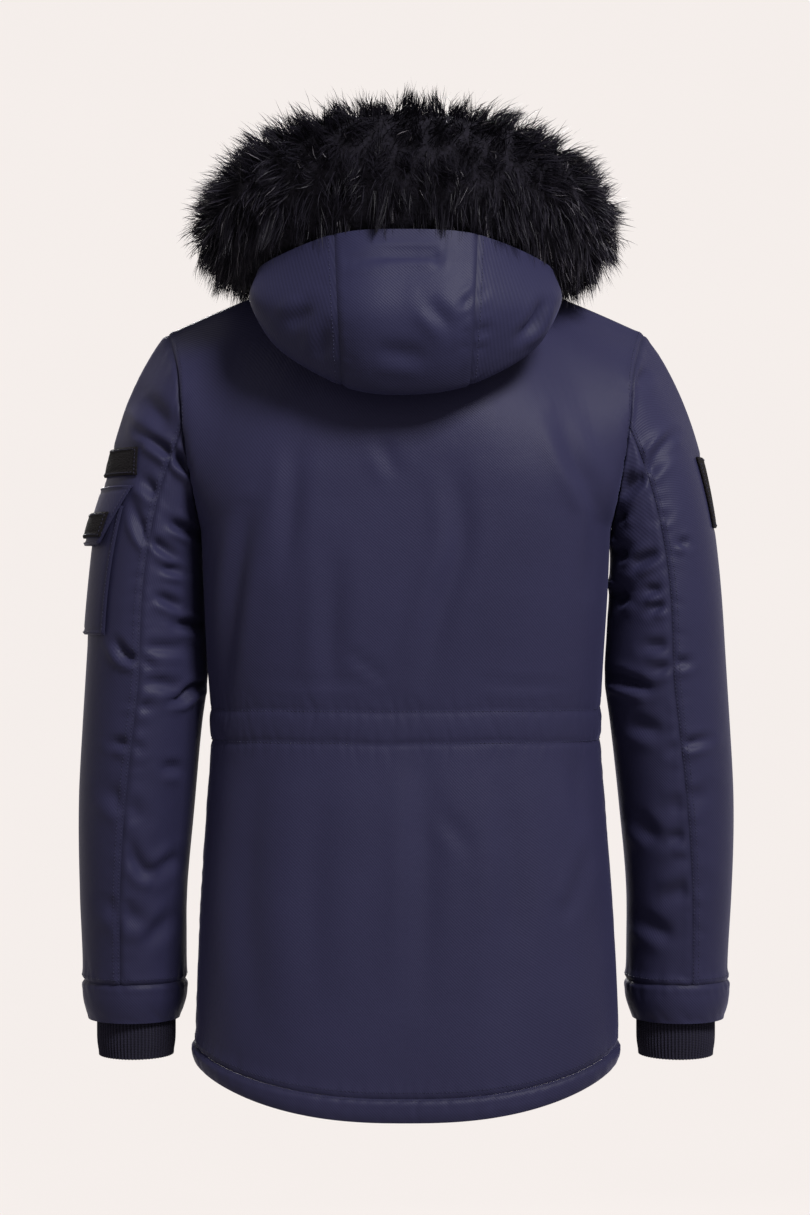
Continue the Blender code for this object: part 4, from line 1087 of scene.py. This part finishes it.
class PARKA_OT_bands(bpy.types.Operator):
    """Hem bands and wrist bands, a little fuller than the cloth that they hold"""

    bl_idname = "parka.bands"
    bl_label = "Bands"

    def execute(self, context):
        drops = graded(16)[::-1]
        parts = body_parts("back", 110)
        half = band_point("back", parts[::-1][:, None] + 0 * drops, drops[None] + 0 * parts[:, None], 0.003)
        form = np.concatenate([half, half[::-1][1:] * MIRROR])
        self.band("hem_back", form)
        parts = body_parts("front", 60)
        half = band_point("front", parts[:, None] + 0 * drops, drops[None] + 0 * parts[:, None], 0.003)
        self.band("hem_front_left", half)
        self.band("hem_front_right", half[::-1] * MIRROR)
        turns = np.linspace(FRONT_SEAM, FRONT_SEAM + 360, 121)
        turns = np.where(turns > 180, turns - 360, turns)
        levels = CUFF_END + (CUFF_SEAM - CUFF_END) * graded(22)
        left = sleeve_section(turns[:, None], levels[None])
        self.wrist("cuff_left", left)
        self.wrist("cuff_right", left[::-1] * MIRROR)
        return {"FINISHED"}

    def band(self, name, form):
        first, last, low, high = edge_distances(form)
        across = runs(form, 0)
        seed = sum(map(ord, name))
        height = seam_groove(high, 0.0012) + puckered(across, high, 0.013, 0.012, 0.0016, seed)
        height += puckered(across, low, 0.019, 0.010, 0.0010, seed + 1)
        if name == "hem_back":
            height += seam_groove(np.minimum(first, last), 0.0014)
        put_panel(name, form, height, seam_shade_share(high), "shell", 0.0050, level=np.ones_like(height))

    def wrist(self, name, form):
        _, _, low, high = edge_distances(form)
        across = runs(form, 0)
        seed = sum(map(ord, name))
        height = seam_groove(high, 0.0018) + puckered(across, high, 0.012, 0.014, 0.0018, seed)
        height += puckered(across, low, 0.015, 0.012, 0.0014, seed + 1)
        height += 0.0016 * np.sin(math.pi * np.clip(low / (low + high), 0, 1))
        put_panel(name, form, height, seam_shade_share(high), "shell", 0.0026, closed=True,
                  level=np.ones_like(height))


class PARKA_OT_sleeves(bpy.types.Operator):
    """Both sleeves, each an upper and an under panel"""

    bl_idname = "parka.sleeves"
    bl_label = "Sleeves"

    def execute(self, context):
        for side in ("left", "right"):
            sleeve_panel("sleeve_%s_upper" % side, FRONT_SEAM, BACK_SEAM, 76, 185)
            sleeve_panel("sleeve_%s_under" % side, BACK_SEAM, FRONT_SEAM + 360, 64, 175)
        return {"FINISHED"}


class PARKA_OT_hood(bpy.types.Operator):
    """Hood of a centre strip and two sides, lying open on the back"""

    bl_idname = "parka.hood"
    bl_label = "Hood"

    def execute(self, context):
        wall = context.scene.parka_cloth.wall
        ways = graded(88, ((0.55, 0.2, 0.7),))
        sides = np.concatenate([np.linspace(0, 4, 27)[:-1], np.linspace(4, HOOD_SEAM_COLUMN, 70)])
        middle = np.linspace(HOOD_SEAM_COLUMN, 16 - HOOD_SEAM_COLUMN, 72)
        gores = (("hood_left", sides), ("hood_centre", middle), ("hood_right", 16 - sides[::-1]))
        for name, columns in gores:
            form = hood_point(columns, ways)
            first, last, low, _ = edge_distances(form)
            upwards = runs(form, 1)
            normal = normals_of(form)
            seed = sum(map(ord, name))
            rear = np.clip(normal[..., 1] / 0.3, 0, 1)
            height = creased(seen_square(form), HOOD_CREASES, rear)
            height += soft_waves(form, seed, 0.0010, 0.040)
            edges = {"hood_left": (last,), "hood_right": (first,), "hood_centre": (first, last)}[name]
            height *= faded(np.minimum.reduce(edges), 0.006)
            for number, edge in enumerate(edges):
                height += seam_groove(edge, 0.0009, 0.0014, 0.0005)
                height += puckered(upwards + 0 * edge, edge, 0.014, 0.013, 0.0016, seed + number)
            put_panel(name, form, height * ease(low / 0.01), seam_shade_share(*edges),
                      "hood_shell", wall)
        return {"FINISHED"}


class PARKA_OT_ribs(bpy.types.Operator):
    """Ribbed knit cuffs, each rib raised"""

    bl_idname = "parka.ribs"
    bl_label = "Ribbed cuffs"

    def execute(self, context):
        ribs = 68
        angles = np.linspace(0, 2 * math.pi, ribs * 6 + 1)[:, None]
        levels = np.linspace(-0.787, -0.742, 12)[None]
        pull = 0.0020 * np.exp(-((levels + 0.787) / 0.010) ** 2)
        ridge = np.cos(angles * ribs)
        across = np.cos(angles) * (0.0388 - pull)
        along = np.sin(angles) * (0.0478 - pull)
        form = np.stack(np.broadcast_arrays(0.2722 + across, -0.030 + along, levels), axis=-1)
        # each rib's valley share goes into the seam attribute, by which the knit paints shade in the
        # valleys and a highlight on the tops
        share = np.broadcast_to((1 - ridge) / 2, form.shape[:2])
        for name, grid in (("rib_left", form), ("rib_right", form[::-1] * MIRROR)):
            normal = normals_of(grid)
            shown = grid + normal * (0.0008 * np.broadcast_to(ridge, share.shape))[..., None]
            shown[-1] = shown[0]
            mesh = cloth_mesh(name, shown, share, closed=True)
            piece = new_piece(name, mesh, [finish("knit")])
            thicken(piece, 0.0020, inside=0)
            finished(piece, "parka", [name])
        return {"FINISHED"}


def lying_grid(place, lifts, columns, rows, mirror=False, slant=0.0):
    """A grid on the sleeve's form, moved out from it by a lift at its head and foot."""
    (turn_high, turn_low), (level_high, level_low) = place
    ways = np.linspace(0, 1, rows + 1)[None]
    shares = np.linspace(0, 1, columns + 1)[:, None]
    turns = turn_low + (turn_high - slant * (1 - ways) - turn_low) * shares
    levels = level_low + (level_high - level_low) * ways
    lift = lifts[1] + (lifts[0] - lifts[1]) * ways
    grid = sleeve_lifted(turns, levels, lift + 0 * turns)
    return grid[::-1] * MIRROR if mirror else grid


def lying_piece(name, grid, wall, material, rim, sag=0.0):
    """A small flat piece on a sleeve, its edges turned in and stitched down."""
    first, last, low, high = edge_distances(grid)
    nearest = np.minimum(np.minimum(first, last), np.minimum(low, high))
    height = (rim * np.exp(-((nearest - 0.0020) / 0.0016) ** 2)
              - 0.6 * rim * np.exp(-((nearest - 0.0052) / 0.0016) ** 2))
    height += wall - 0.0009 * np.exp(-(nearest / 0.0010) ** 2)
    height += sag * np.sin(math.pi * first / (first + last)) * soft_waves(grid, len(name), 1.0, 0.02)
    normal = normals_of(grid)
    shown = grid + normal * height[..., None]
    SHOWN[name] = (shown, normal)
    # the seam attribute marks the piece's edges, where the shell twill paints shade
    mesh = cloth_mesh(name, shown, np.exp(-(nearest / 0.003) ** 2))
    piece = new_piece(name, mesh, [finish(material)])
    thicken(piece, wall, inside=0)
    finished(piece, "parka", [name])
    return piece


class PARKA_OT_patches(bpy.types.Operator):
    """Sleeve pocket, its flap and the hook-and-loop patches"""

    bl_idname = "parka.patches"
    bl_label = "Pocket and patches"

    def execute(self, context):
        flat = (PATCH_LIFT, PATCH_LIFT)
        grid = lying_grid(POCKET_PLACE, flat, 60, 66)
        lying_piece("sleeve_pocket", grid, LYING_WALL, "shell", 0.0010, 0.0006)
        grid = lying_grid(FLAP_PLACE, (PATCH_LIFT, FLAP_LIFT), 62, 32, slant=FLAP_SLANT)
        lying_piece("pocket_flap", grid, LYING_WALL, "shell", 0.0010, 0.0005)
        tilt = (FLAP_LIFT - PATCH_LIFT) / (FLAP_PLACE[1][0] - FLAP_PLACE[1][1])
        lifts = [PATCH_LIFT + tilt * (FLAP_PLACE[1][0] - level) + LYING_WALL + 0.0012
                 for level in FLAP_PATCH_PLACE[1]]
        grid = lying_grid(FLAP_PATCH_PLACE, lifts, 50, 16)
        lying_piece("flap_patch", grid, PATCH_WALL, "loop_pile", 0.0004)
        grid = lying_grid(ARM_PATCH_PLACE, flat, 50, 18, slant=-9.0)
        lying_piece("arm_patch_left", grid, PATCH_WALL, "loop_pile", 0.0004)
        grid = lying_grid(RIGHT_PATCH_PLACE, flat, 40, 36, mirror=True)
        lying_piece("arm_patch_right", grid, PATCH_WALL, "loop_pile", 0.0004)
        return {"FINISHED"}


# ---------------------------------------------------------------- stitching
GRAIN = np.array(((-1, 0, 0), (0, -1, 0), (0, 0, -0.6), (0, 1, 0), (0, 0, 1), (1, 0, 0)), float)
GRAIN_FACES = np.array(((0, 2, 1), (0, 3, 2), (0, 4, 3), (0, 1, 4),
                        (5, 1, 2), (5, 2, 3), (5, 3, 4), (5, 4, 1)))


def stitch_row(lines, name, edge, offset, limits=(0.0, 1.0), level=None):
    """Add a row of stitches to the list, at an offset from a panel's edge or at one height."""
    shown, normal = SHOWN[name]
    if edge == "level":
        target = shown[..., 2] - level
        rows = np.abs(target).argmin(axis=1)
        columns = np.arange(len(shown))
        points = shown[columns, rows]
        aims = normal[columns, rows]
        step = np.clip(target[columns, rows], -0.004, 0.004)
        points = points - np.array([0, 0, 1.0]) * step[:, None]
    else:
        axis = 0 if edge in ("first", "last") else 1
        grid = shown if edge in ("first", "low") else np.flip(shown, axis)
        turned = normal if edge in ("first", "low") else np.flip(normal, axis)
        if axis == 1:
            grid = grid.transpose(1, 0, 2)
            turned = turned.transpose(1, 0, 2)
        away = runs(grid, 0)
        index = (away < offset).sum(axis=0) - 1
        index = np.clip(index, 0, len(grid) - 2)
        lanes = np.arange(grid.shape[1])
        span = away[index + 1, lanes] - away[index, lanes]
        f = np.clip((offset - away[index, lanes]) / np.maximum(span, 1e-9), 0, 1)[:, None]
        points = grid[index, lanes] * (1 - f) + grid[index + 1, lanes] * f
        aims = turned[index, lanes]
    count = len(points)
    first, last = int(limits[0] * (count - 1)), int(limits[1] * (count - 1)) + 1
    lines.append((points[first:last], aims[first:last]))


def stitches(name, lines):
    """Make all the stitches of some rows as one piece of small grains."""
    pitch = bpy.context.scene.parka_cloth.stitch
    places = []
    for points, aims in lines:
        run = runs(points[:, None], 0)[:, 0]
        count = int(run[-1] / pitch)
        if count < 2:
            continue
        at = (np.arange(count) + 0.5) * pitch
        centre = np.stack([np.interp(at, run, points[:, a]) for a in range(3)], axis=-1)
        up = unit(np.stack([np.interp(at, run, aims[:, a]) for a in range(3)], axis=-1))
        ahead = np.stack([np.interp(at + pitch / 3, run, points[:, a]) for a in range(3)], axis=-1)
        behind = np.stack([np.interp(at - pitch / 3, run, points[:, a]) for a in range(3)], axis=-1)
        way = unit(ahead - behind)
        across = unit(np.cross(up, way))
        frame_of = np.stack([way * pitch * 0.42, across * 0.00045, up * 0.00040], axis=1)
        places.append(centre[:, None] + GRAIN @ frame_of + up[:, None] * 0.00012)
    grains = np.concatenate(places)
    count = len(grains)
    faces = GRAIN_FACES[None] + 6 * np.arange(count)[:, None, None]
    mesh = array_mesh(name, grains.reshape(-1, 3), faces.reshape(-1, 3))
    mesh.shade_smooth()
    piece = new_piece(name, mesh, [finish("thread")])
    return finished(piece, "parka", [])


def array_mesh(name, points, faces):
    """A joined mesh of many small triangles from arrays."""
    mesh = bpy.data.meshes.new(name)
    mesh.vertices.add(len(points))
    mesh.vertices.foreach_set("co", np.ascontiguousarray(points, dtype=np.float32).ravel())
    mesh.loops.add(faces.size)
    mesh.loops.foreach_set("vertex_index", faces.astype(np.int32).ravel())
    mesh.polygons.add(len(faces))
    mesh.polygons.foreach_set("loop_start", np.arange(0, faces.size, 3, dtype=np.int32))
    mesh.update(calc_edges=True)
    return mesh


class PARKA_OT_stitching(bpy.types.Operator):
    """Topstitching along the seams, bands, casing, pocket and patches"""

    bl_idname = "parka.stitching"
    bl_label = "Topstitching"

    def execute(self, context):
        lines = []
        for name in ("back", "front_left", "front_right"):
            for level in (CASING_TOP, CASING_FOOT):
                stitch_row(lines, name, "level", 0, level=level)
            stitch_row(lines, name, "low", 0.006)
        stitch_row(lines, "back", "first", 0.006, (0.5, 1.0))
        stitch_row(lines, "back", "last", 0.006, (0.5, 1.0))
        stitch_row(lines, "front_left", "last", 0.006, (0.5, 1.0))
        stitch_row(lines, "front_right", "first", 0.006, (0.5, 1.0))
        stitch_row(lines, "front_left", "first", 0.008)
        stitch_row(lines, "front_right", "last", 0.008)
        for name in ("hem_back", "hem_front_left", "hem_front_right"):
            stitch_row(lines, name, "high", 0.0025)
        stitches("stitches_body", lines)
        lines = []
        for side in ("left", "right"):
            upper = "sleeve_%s_upper" % side
            back_edge = "last" if side == "left" else "first"
            stitch_row(lines, upper, back_edge, 0.0018)
            stitch_row(lines, upper, back_edge, 0.0070)
            stitch_row(lines, upper, "low", 0.006)
            stitch_row(lines, "sleeve_%s_under" % side, "low", 0.006)
        stitches("stitches_sleeves", lines)
        lines = []
        stitch_row(lines, "hood_left", "last", 0.006, (0.2, 1.0))
        stitch_row(lines, "hood_right", "first", 0.006, (0.2, 1.0))
        stitches("stitches_hood", lines)
        lines = []
        for name in ("sleeve_pocket", "pocket_flap", "flap_patch", "arm_patch_left", "arm_patch_right"):
            for edge in ("first", "last", "low", "high"):
                stitch_row(lines, name, edge, 0.0030, (0.04, 0.96))
        stitches("stitches_patches", lines)
        return {"FINISHED"}


# ---------------------------------------------------------------- zip
class PARKA_OT_zip(bpy.types.Operator):
    """Moulded zip teeth, and finishes for the tapes, slider and pull"""

    bl_idname = "parka.zip"
    bl_label = "Zip"

    def execute(self, context):
        low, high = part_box("zip_teeth")
        rows = np.linspace(0, 2, 800)
        profile = body_point("front", np.zeros(1)[:, None], rows[None])[0][:, 1:]
        below = body_section("front", np.zeros(1), np.array([HEM_SEAM["front"] - HEM_BAND["front"]]))[0, 1:]
        profile = np.concatenate([below[None], profile])
        keep = (profile[:, 1] > low[2] + 0.001) & (profile[:, 1] < high[2] - 0.0005)
        profile = profile[keep]
        run = runs(profile[:, None], 0)[:, 0]
        pitch = 0.0025
        count = int(run[-1] / pitch)
        at = (np.arange(count) + 0.5) * pitch
        y = np.interp(at, run, profile[:, 0])
        z = np.interp(at, run, profile[:, 1])
        ahead = [np.interp(at + 0.001, run, profile[:, column]) for column in (0, 1)]
        way = unit(np.stack([ahead[0] - y, ahead[1] - z], axis=-1))
        out = np.stack([-way[:, 1], way[:, 0]], axis=-1)
        work = bmesh.new()
        bmesh.ops.create_cube(work, size=1.0)
        bmesh.ops.bevel(work, geom=work.edges, offset=0.16, segments=1, affect="EDGES",
                        profile=0.5, material=-1)
        bmesh.ops.triangulate(work, faces=work.faces)
        tooth = np.array([vert.co for vert in work.verts])
        work.verts.index_update()
        corners = np.array([[vert.index for vert in face.verts] for face in work.faces])
        work.free()
        side = np.where(np.arange(count) % 2 == 0, 1.0, -1.0)
        x = tooth[None, :, 0] * 0.0040 + side[:, None] * 0.0005
        along = tooth[None, :, 2] * 0.0017
        depth = tooth[None, :, 1] * 0.0034 - 0.0036
        points = np.stack([x,
                           y[:, None] + way[:, :1] * along + out[:, :1] * depth,
                           z[:, None] + way[:, 1:] * along + out[:, 1:] * depth], axis=-1)
        faces = corners[None] + len(tooth) * np.arange(count)[:, None, None]
        mesh = array_mesh("zip_teeth_row", points.reshape(-1, 3), faces.reshape(-1, 3))
        teeth = new_piece("zip_teeth_row", mesh, [finish("zip_metal")])
        finished(teeth, "parka", ["zip_teeth"])
        for name, material in (("zip_tape_left", "zip_tape"), ("zip_tape_right", "zip_tape"),
                               ("zip_slider", "zip_metal"), ("zip_pull", "zip_metal")):
            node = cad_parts[name]
            for slot in node.material_slots:
                slot.material = finish(material)
        return {"FINISHED"}


# ---------------------------------------------------------------- fur
def fur_frames(ways):
    """Middle of the fur, its two reaches and its three directions at some ways along it."""
    flip = np.array([-1, 1, 1, 1, 1])
    rows = np.concatenate([FUR_TABLE[:0:-1] * flip, FUR_TABLE])
    knots = np.linspace(0, 1, len(rows))
    sizes = spline(knots, rows, ways)
    run = unit(spline(knots, rows, np.minimum(ways + 0.01, 1))[:, :3]
               - spline(knots, rows, np.maximum(ways - 0.01, 0))[:, :3])
    side = unit(np.cross(run, np.array([0.0, 0.0, 1.0])))
    above = np.cross(side, run)
    length = np.linalg.norm(np.diff(rows[:, :3], axis=0), axis=1).sum()
    to_end = np.clip(np.minimum(ways, 1 - ways) * length / FUR_END, 0, 1)
    size = np.sqrt(np.maximum(1 - (1 - to_end) ** 2, 0.06))
    return sizes[:, :3], sizes[:, 3] * size, sizes[:, 4] * size, run, side, above


HAIR_LEVELS = np.array([0.0, 0.38, 0.72, 1.0])
HAIR_LENGTHS = ((0.36, 0.72), (0.24, 0.44))     # guard hairs and wool, as shares of the fur's reach
GUARD_SHARE = 0.26
FUR_SEED = 7
LOCK_HAIRS = 110             # hairs that gather in one lock
CORE_SHARE = 0.68            # the dark core's share of the fur's reach
CORE_SAG = 0.60              # how much fuller the core is below


def fur_hairs(count, seed):
    """Roots, tips and bends of the hairs, which the fur step gathers in locks afterwards."""
    rng = np.random.default_rng(seed)
    ways = rng.uniform(0.004, 0.996, count)
    angles = rng.uniform(0, 2 * math.pi, count)
    centre, across, up, run, side, above = fur_frames(ways)
    cos = np.cos(angles)[:, None]
    sin = np.sin(angles)[:, None]
    root_share = rng.uniform(0.56, 0.72, (count, 1))
    radial = side * across[:, None] * cos + above * up[:, None] * sin
    root = centre + radial * root_share
    out = unit(side * cos / across[:, None] + above * sin / up[:, None])
    reach = np.linalg.norm(radial, axis=1, keepdims=True)
    guard = rng.random((count, 1)) < GUARD_SHARE
    guard_length, wool_length = (rng.uniform(*limits, (count, 1)) for limits in HAIR_LENGTHS)
    length = reach * np.where(guard, guard_length, wool_length)
    radial = unit(centre * np.array([1.0, 1.0, 0.0]))
    outer = (out * radial).sum(axis=1, keepdims=True)
    rise = out[:, 2:]
    down = np.array([0.0, 0.0, -1.0])
    flow = radial * np.clip(rise * 0.8 + 0.15, 0, 0.8) + down * np.clip(0.55 - rise, 0, 1.3) * 0.95
    inward = np.clip(-outer - 0.1, 0, 1)
    flow = flow * (1 - inward) - (down * 0.5 + radial * 0.3) * inward
    length *= 1 + 0.30 * np.clip(0.4 - rise, 0, 1.2) * (outer > -0.2)
    swirl = rng.normal(0, 0.26, (count, 3))
    first = unit(out * 0.85 + flow * 0.35 + swirl * 0.6)
    length *= 1 - 0.34 * np.clip(out[:, 1:2], 0, 1) ** 2
    second = unit(out * 0.38 + flow + swirl + run * rng.normal(0, 0.16, (count, 1)))
    return rng, root, first, second, length, guard, ways


class PARKA_OT_fur(bpy.types.Operator):
    """Fur trim round the hood's edge: a dark core and locks of long hairs over it"""

    bl_idname = "parka.fur"
    bl_label = "Fur trim"

    def execute(self, context):
        trim = context.scene.parka_trim
        self.core()
        count = trim.hairs
        rng, root, first, second, length, guard, ways = fur_hairs(count, FUR_SEED)
        levels = HAIR_LEVELS[None, :, None]
        spine = root[:, None] + length[:, None] * (first[:, None] * (levels - levels**2 / 2)
                                                   + second[:, None] * levels**2 * 0.62)
        locks = rng.choice(count, count // LOCK_HAIRS, replace=False)
        tree = kdtree.KDTree(len(locks))
        for number, lock in enumerate(locks):
            tree.insert(root[lock], number)
        tree.balance()
        owner = locks[np.array([tree.find(place)[1] for place in root])]
        pull = rng.uniform(0.45, 0.98, (count, 1, 1)) * levels**1.2
        lock_spine = spine[owner]
        spine = spine + (lock_spine - spine) * pull * np.where(guard[:, None], 0.55, 0.95)
        tangent = unit(np.gradient(spine, axis=1))
        flat = unit(np.cross(tangent, rng.normal(size=(count, 1, 3))))
        width = trim.hair_width * rng.uniform(0.55, 1.1, (count, 1, 1)) * (1 - levels[:, :3] * 0.72)
        left = spine[:, :3] - flat[:, :3] * width / 2
        right = spine[:, :3] + flat[:, :3] * width / 2
        pairs = np.stack([left, right], axis=2).reshape(count, 6, 3)
        points = np.concatenate([pairs, spine[:, 3:]], axis=1)
        faces = np.array(((0, 1, 3), (0, 3, 2), (2, 3, 5), (2, 5, 4), (4, 5, 6)))
        silver = np.where(guard, rng.uniform(0.30, 1.0, (count, 1)), rng.uniform(0.0, 0.36, (count, 1)))
        along = np.append(np.repeat(HAIR_LEVELS[:3], 2), HAIR_LEVELS[3])[None] ** 1.2
        # painted shade: the hair tone is darker at the fur's middle and paler towards its sides, by where
        # each root lies across the coat
        sides = 0.18 + 1.45 * np.clip(np.abs(root[:, :1]) / 0.19, 0, 1)
        tone = silver * along * 0.62 * sides
        tone = np.where(rng.random((count, 1)) < 0.010, along**0.4, tone)
        third = np.clip((ways * 3).astype(int), 0, 2)
        for number, name in enumerate(("fur_right", "fur_back", "fur_left")):
            pick = third == number
            kept = points[pick]
            index = faces[None] + 7 * np.arange(len(kept))[:, None, None]
            mesh = array_mesh(name, kept.reshape(-1, 3), index.reshape(-1, 3))
            attribute = mesh.attributes.new("tone", "FLOAT", "POINT")
            attribute.data.foreach_set("value", tone[pick].astype(np.float32).ravel())
            mesh.shade_smooth()
            piece = new_piece(name, mesh, [finish("fur")])
            finished(piece, "parka", [])
        return {"FINISHED"}

    def core(self):
        ways = np.linspace(0, 1, 181)
        angles = np.linspace(0, 2 * math.pi, 37)
        centre, across, up, _, side, above = fur_frames(ways)
        wide = across[:, None] * np.cos(angles)
        tall = up[:, None] * (1 + CORE_SAG * np.clip(-np.sin(angles), 0, 1)) * np.sin(angles)
        grid = (centre[:, None] + side[:, None] * wide[..., None] * CORE_SHARE
                + above[:, None] * tall[..., None] * CORE_SHARE)
        grid += unit(grid - centre[:, None]) * soft_waves(grid, 3, 0.0022, 0.008)[..., None]
        grid[0] = grid[0].mean(axis=0)
        grid[-1] = grid[-1].mean(axis=0)
        grid[:, -1] = grid[:, 0]
        mesh = cloth_mesh("fur_core", grid, np.zeros(grid.shape[:2]), closed=True)
        work = bmesh.new()
        work.from_mesh(mesh)
        bmesh.ops.recalc_face_normals(work, faces=work.faces)
        work.to_mesh(mesh)
        work.free()
        piece = new_piece("fur_core", mesh, [finish("underfur")])
        finished(piece, "parka", ["fur_trim"])


# ---------------------------------------------------------------- stage
def area_light(name, place, size, power, colour):
    """A soft square light aimed at the coat."""
    lamp = bpy.data.lights.new(name, "AREA")
    lamp.shape = "SQUARE"
    lamp.size = size
    lamp.energy = power
    lamp.color = colour
    light = bpy.data.objects.new(name, lamp)
    bpy.context.scene.collection.objects.link(light)
    direction = unit(np.array(LIGHT_AIM) - np.array(place))
    yaw = math.atan2(-direction[0], direction[1])
    light.location = place
    light.rotation_euler = (math.acos(-direction[2]), 0.0, yaw)
    return light


# name, place, size, power and colour
LIGHTS = (
    ("key", (-1.7, 2.9, 2.7), 1.2, 590.0, (1.0, 0.99, 0.98)),
    ("front_fill", (0.5, -3.5, 1.3), 1.6, 380.0, (1.0, 0.99, 1.0)),
)
LIGHT_AIM = (0.0, 0.0, -0.3)
SKY_COLOUR = (1.0, 0.98, 0.97, 1.0)
SKY_STRENGTH = 0.60
BOWL_FLAT = 5.0              # radius of the backdrop's flat floor
BOWL_BEND = 3.0              # radius of the bend from its floor to its wall
BOWL_HEIGHT = 8.0


class PARKA_OT_stage(bpy.types.Operator):
    """Pale floor that rises into a round backdrop, soft lights and the camera"""

    bl_idname = "parka.stage"
    bl_label = "Stage"

    def execute(self, context):
        stage = context.scene.parka_stage
        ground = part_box("hem_back")[0].z - stage.drop
        made = Finish("floor")
        objects = made.node("ShaderNodeTexCoord").outputs["Object"]
        pale = tuple(stage.floor)
        tone = made.ramp(made.noise(objects, 2.0), ((0.3, scaled(pale, 0.995)), (0.7, pale)))
        made.join(tone, made.shader.inputs["Base Color"])
        made.join(tone, made.shader.inputs["Emission Color"])
        made.set(Roughness=0.95, Specular_IOR_Level=0.1, Emission_Strength=stage.glow)
        work = bmesh.new()
        profile = [(0.0, 0.0), (BOWL_FLAT, 0.0)]
        profile += [(BOWL_FLAT + BOWL_BEND * math.sin(a), BOWL_BEND * (1 - math.cos(a)))
                    for a in np.linspace(0.1, math.pi / 2, 16)]
        profile.append((BOWL_FLAT + BOWL_BEND, BOWL_HEIGHT))
        verts = [work.verts.new((r, 0.0, ground + z)) for r, z in profile]
        edges = [work.edges.new(pair) for pair in zip(verts[:-1], verts[1:])]
        bmesh.ops.spin(work, geom=verts + edges, cent=(0, 0, 0), axis=(0, 0, 1), dvec=(0, 0, 0),
                       angle=2 * math.pi, steps=96, use_merge=True)
        bmesh.ops.remove_doubles(work, verts=work.verts, dist=1e-5)
        bmesh.ops.recalc_face_normals(work, faces=work.faces)
        mesh = bpy.data.meshes.new("floor")
        work.to_mesh(mesh)
        work.free()
        mesh.shade_smooth()
        new_piece("floor", mesh, [made.material])
        world = bpy.data.worlds.new("studio")
        context.scene.world = world
        world.use_nodes = True
        sky = world.node_tree.nodes["Background"].inputs
        sky["Color"].default_value = SKY_COLOUR
        sky["Strength"].default_value = SKY_STRENGTH
        for light in LIGHTS:
            area_light(*light)
        camera = bpy.data.objects.new("camera", bpy.data.cameras.new("camera"))
        context.scene.collection.objects.link(camera)
        camera.data.lens = 88.9
        camera.data.sensor_width = 36.0
        camera.location = (0.001, VIEW_DISTANCE, VIEW_HEIGHT)
        camera.rotation_euler = (math.pi / 2, 0.0, math.pi)
        context.scene.camera = camera
        context.scene.view_settings.view_transform = "Standard"
        return {"FINISHED"}


# ---------------------------------------------------------------- panel and run
STEPS = (
    PARKA_OT_body,
    PARKA_OT_bands,
    PARKA_OT_sleeves,
    PARKA_OT_hood,
    PARKA_OT_ribs,
    PARKA_OT_patches,
    PARKA_OT_stitching,
    PARKA_OT_zip,
    PARKA_OT_fur,
    PARKA_OT_stage,
)


class PARKA_PT_panel(bpy.types.Panel):
    """Sizes, colours and the steps that build the parka"""

    bl_label = "Parka"
    bl_idname = "PARKA_PT_panel"
    bl_space_type = "VIEW_3D"
    bl_region_type = "UI"
    bl_category = "Parka"

    def draw(self, context):
        scene = context.scene
        for group in (scene.parka_cloth, scene.parka_trim, scene.parka_stage):
            for key in group.__annotations__:
                self.layout.prop(group, key)
        for step in STEPS:
            self.layout.operator(step.bl_idname)


GROUPS = (("parka_cloth", ParkaCloth), ("parka_trim", ParkaTrim), ("parka_stage", ParkaStage))


def register():
    """Make the operators, the panel and the settings known to Blender."""
    for name, group in GROUPS:
        bpy.utils.register_class(group)
        setattr(bpy.types.Scene, name, bpy.props.PointerProperty(type=group))
    for step in (*STEPS, PARKA_PT_panel):
        bpy.utils.register_class(step)


def unregister():
    """Take them out again."""
    for step in reversed((*STEPS, PARKA_PT_panel)):
        bpy.utils.unregister_class(step)
    for name, group in reversed(GROUPS):
        delattr(bpy.types.Scene, name)
        bpy.utils.unregister_class(group)


def main():
    """Build every piece in order."""
    register()
    for step in STEPS:
        getattr(bpy.ops.parka, step.bl_idname.split(".")[1])()


if __name__ == "__main__":
    main()
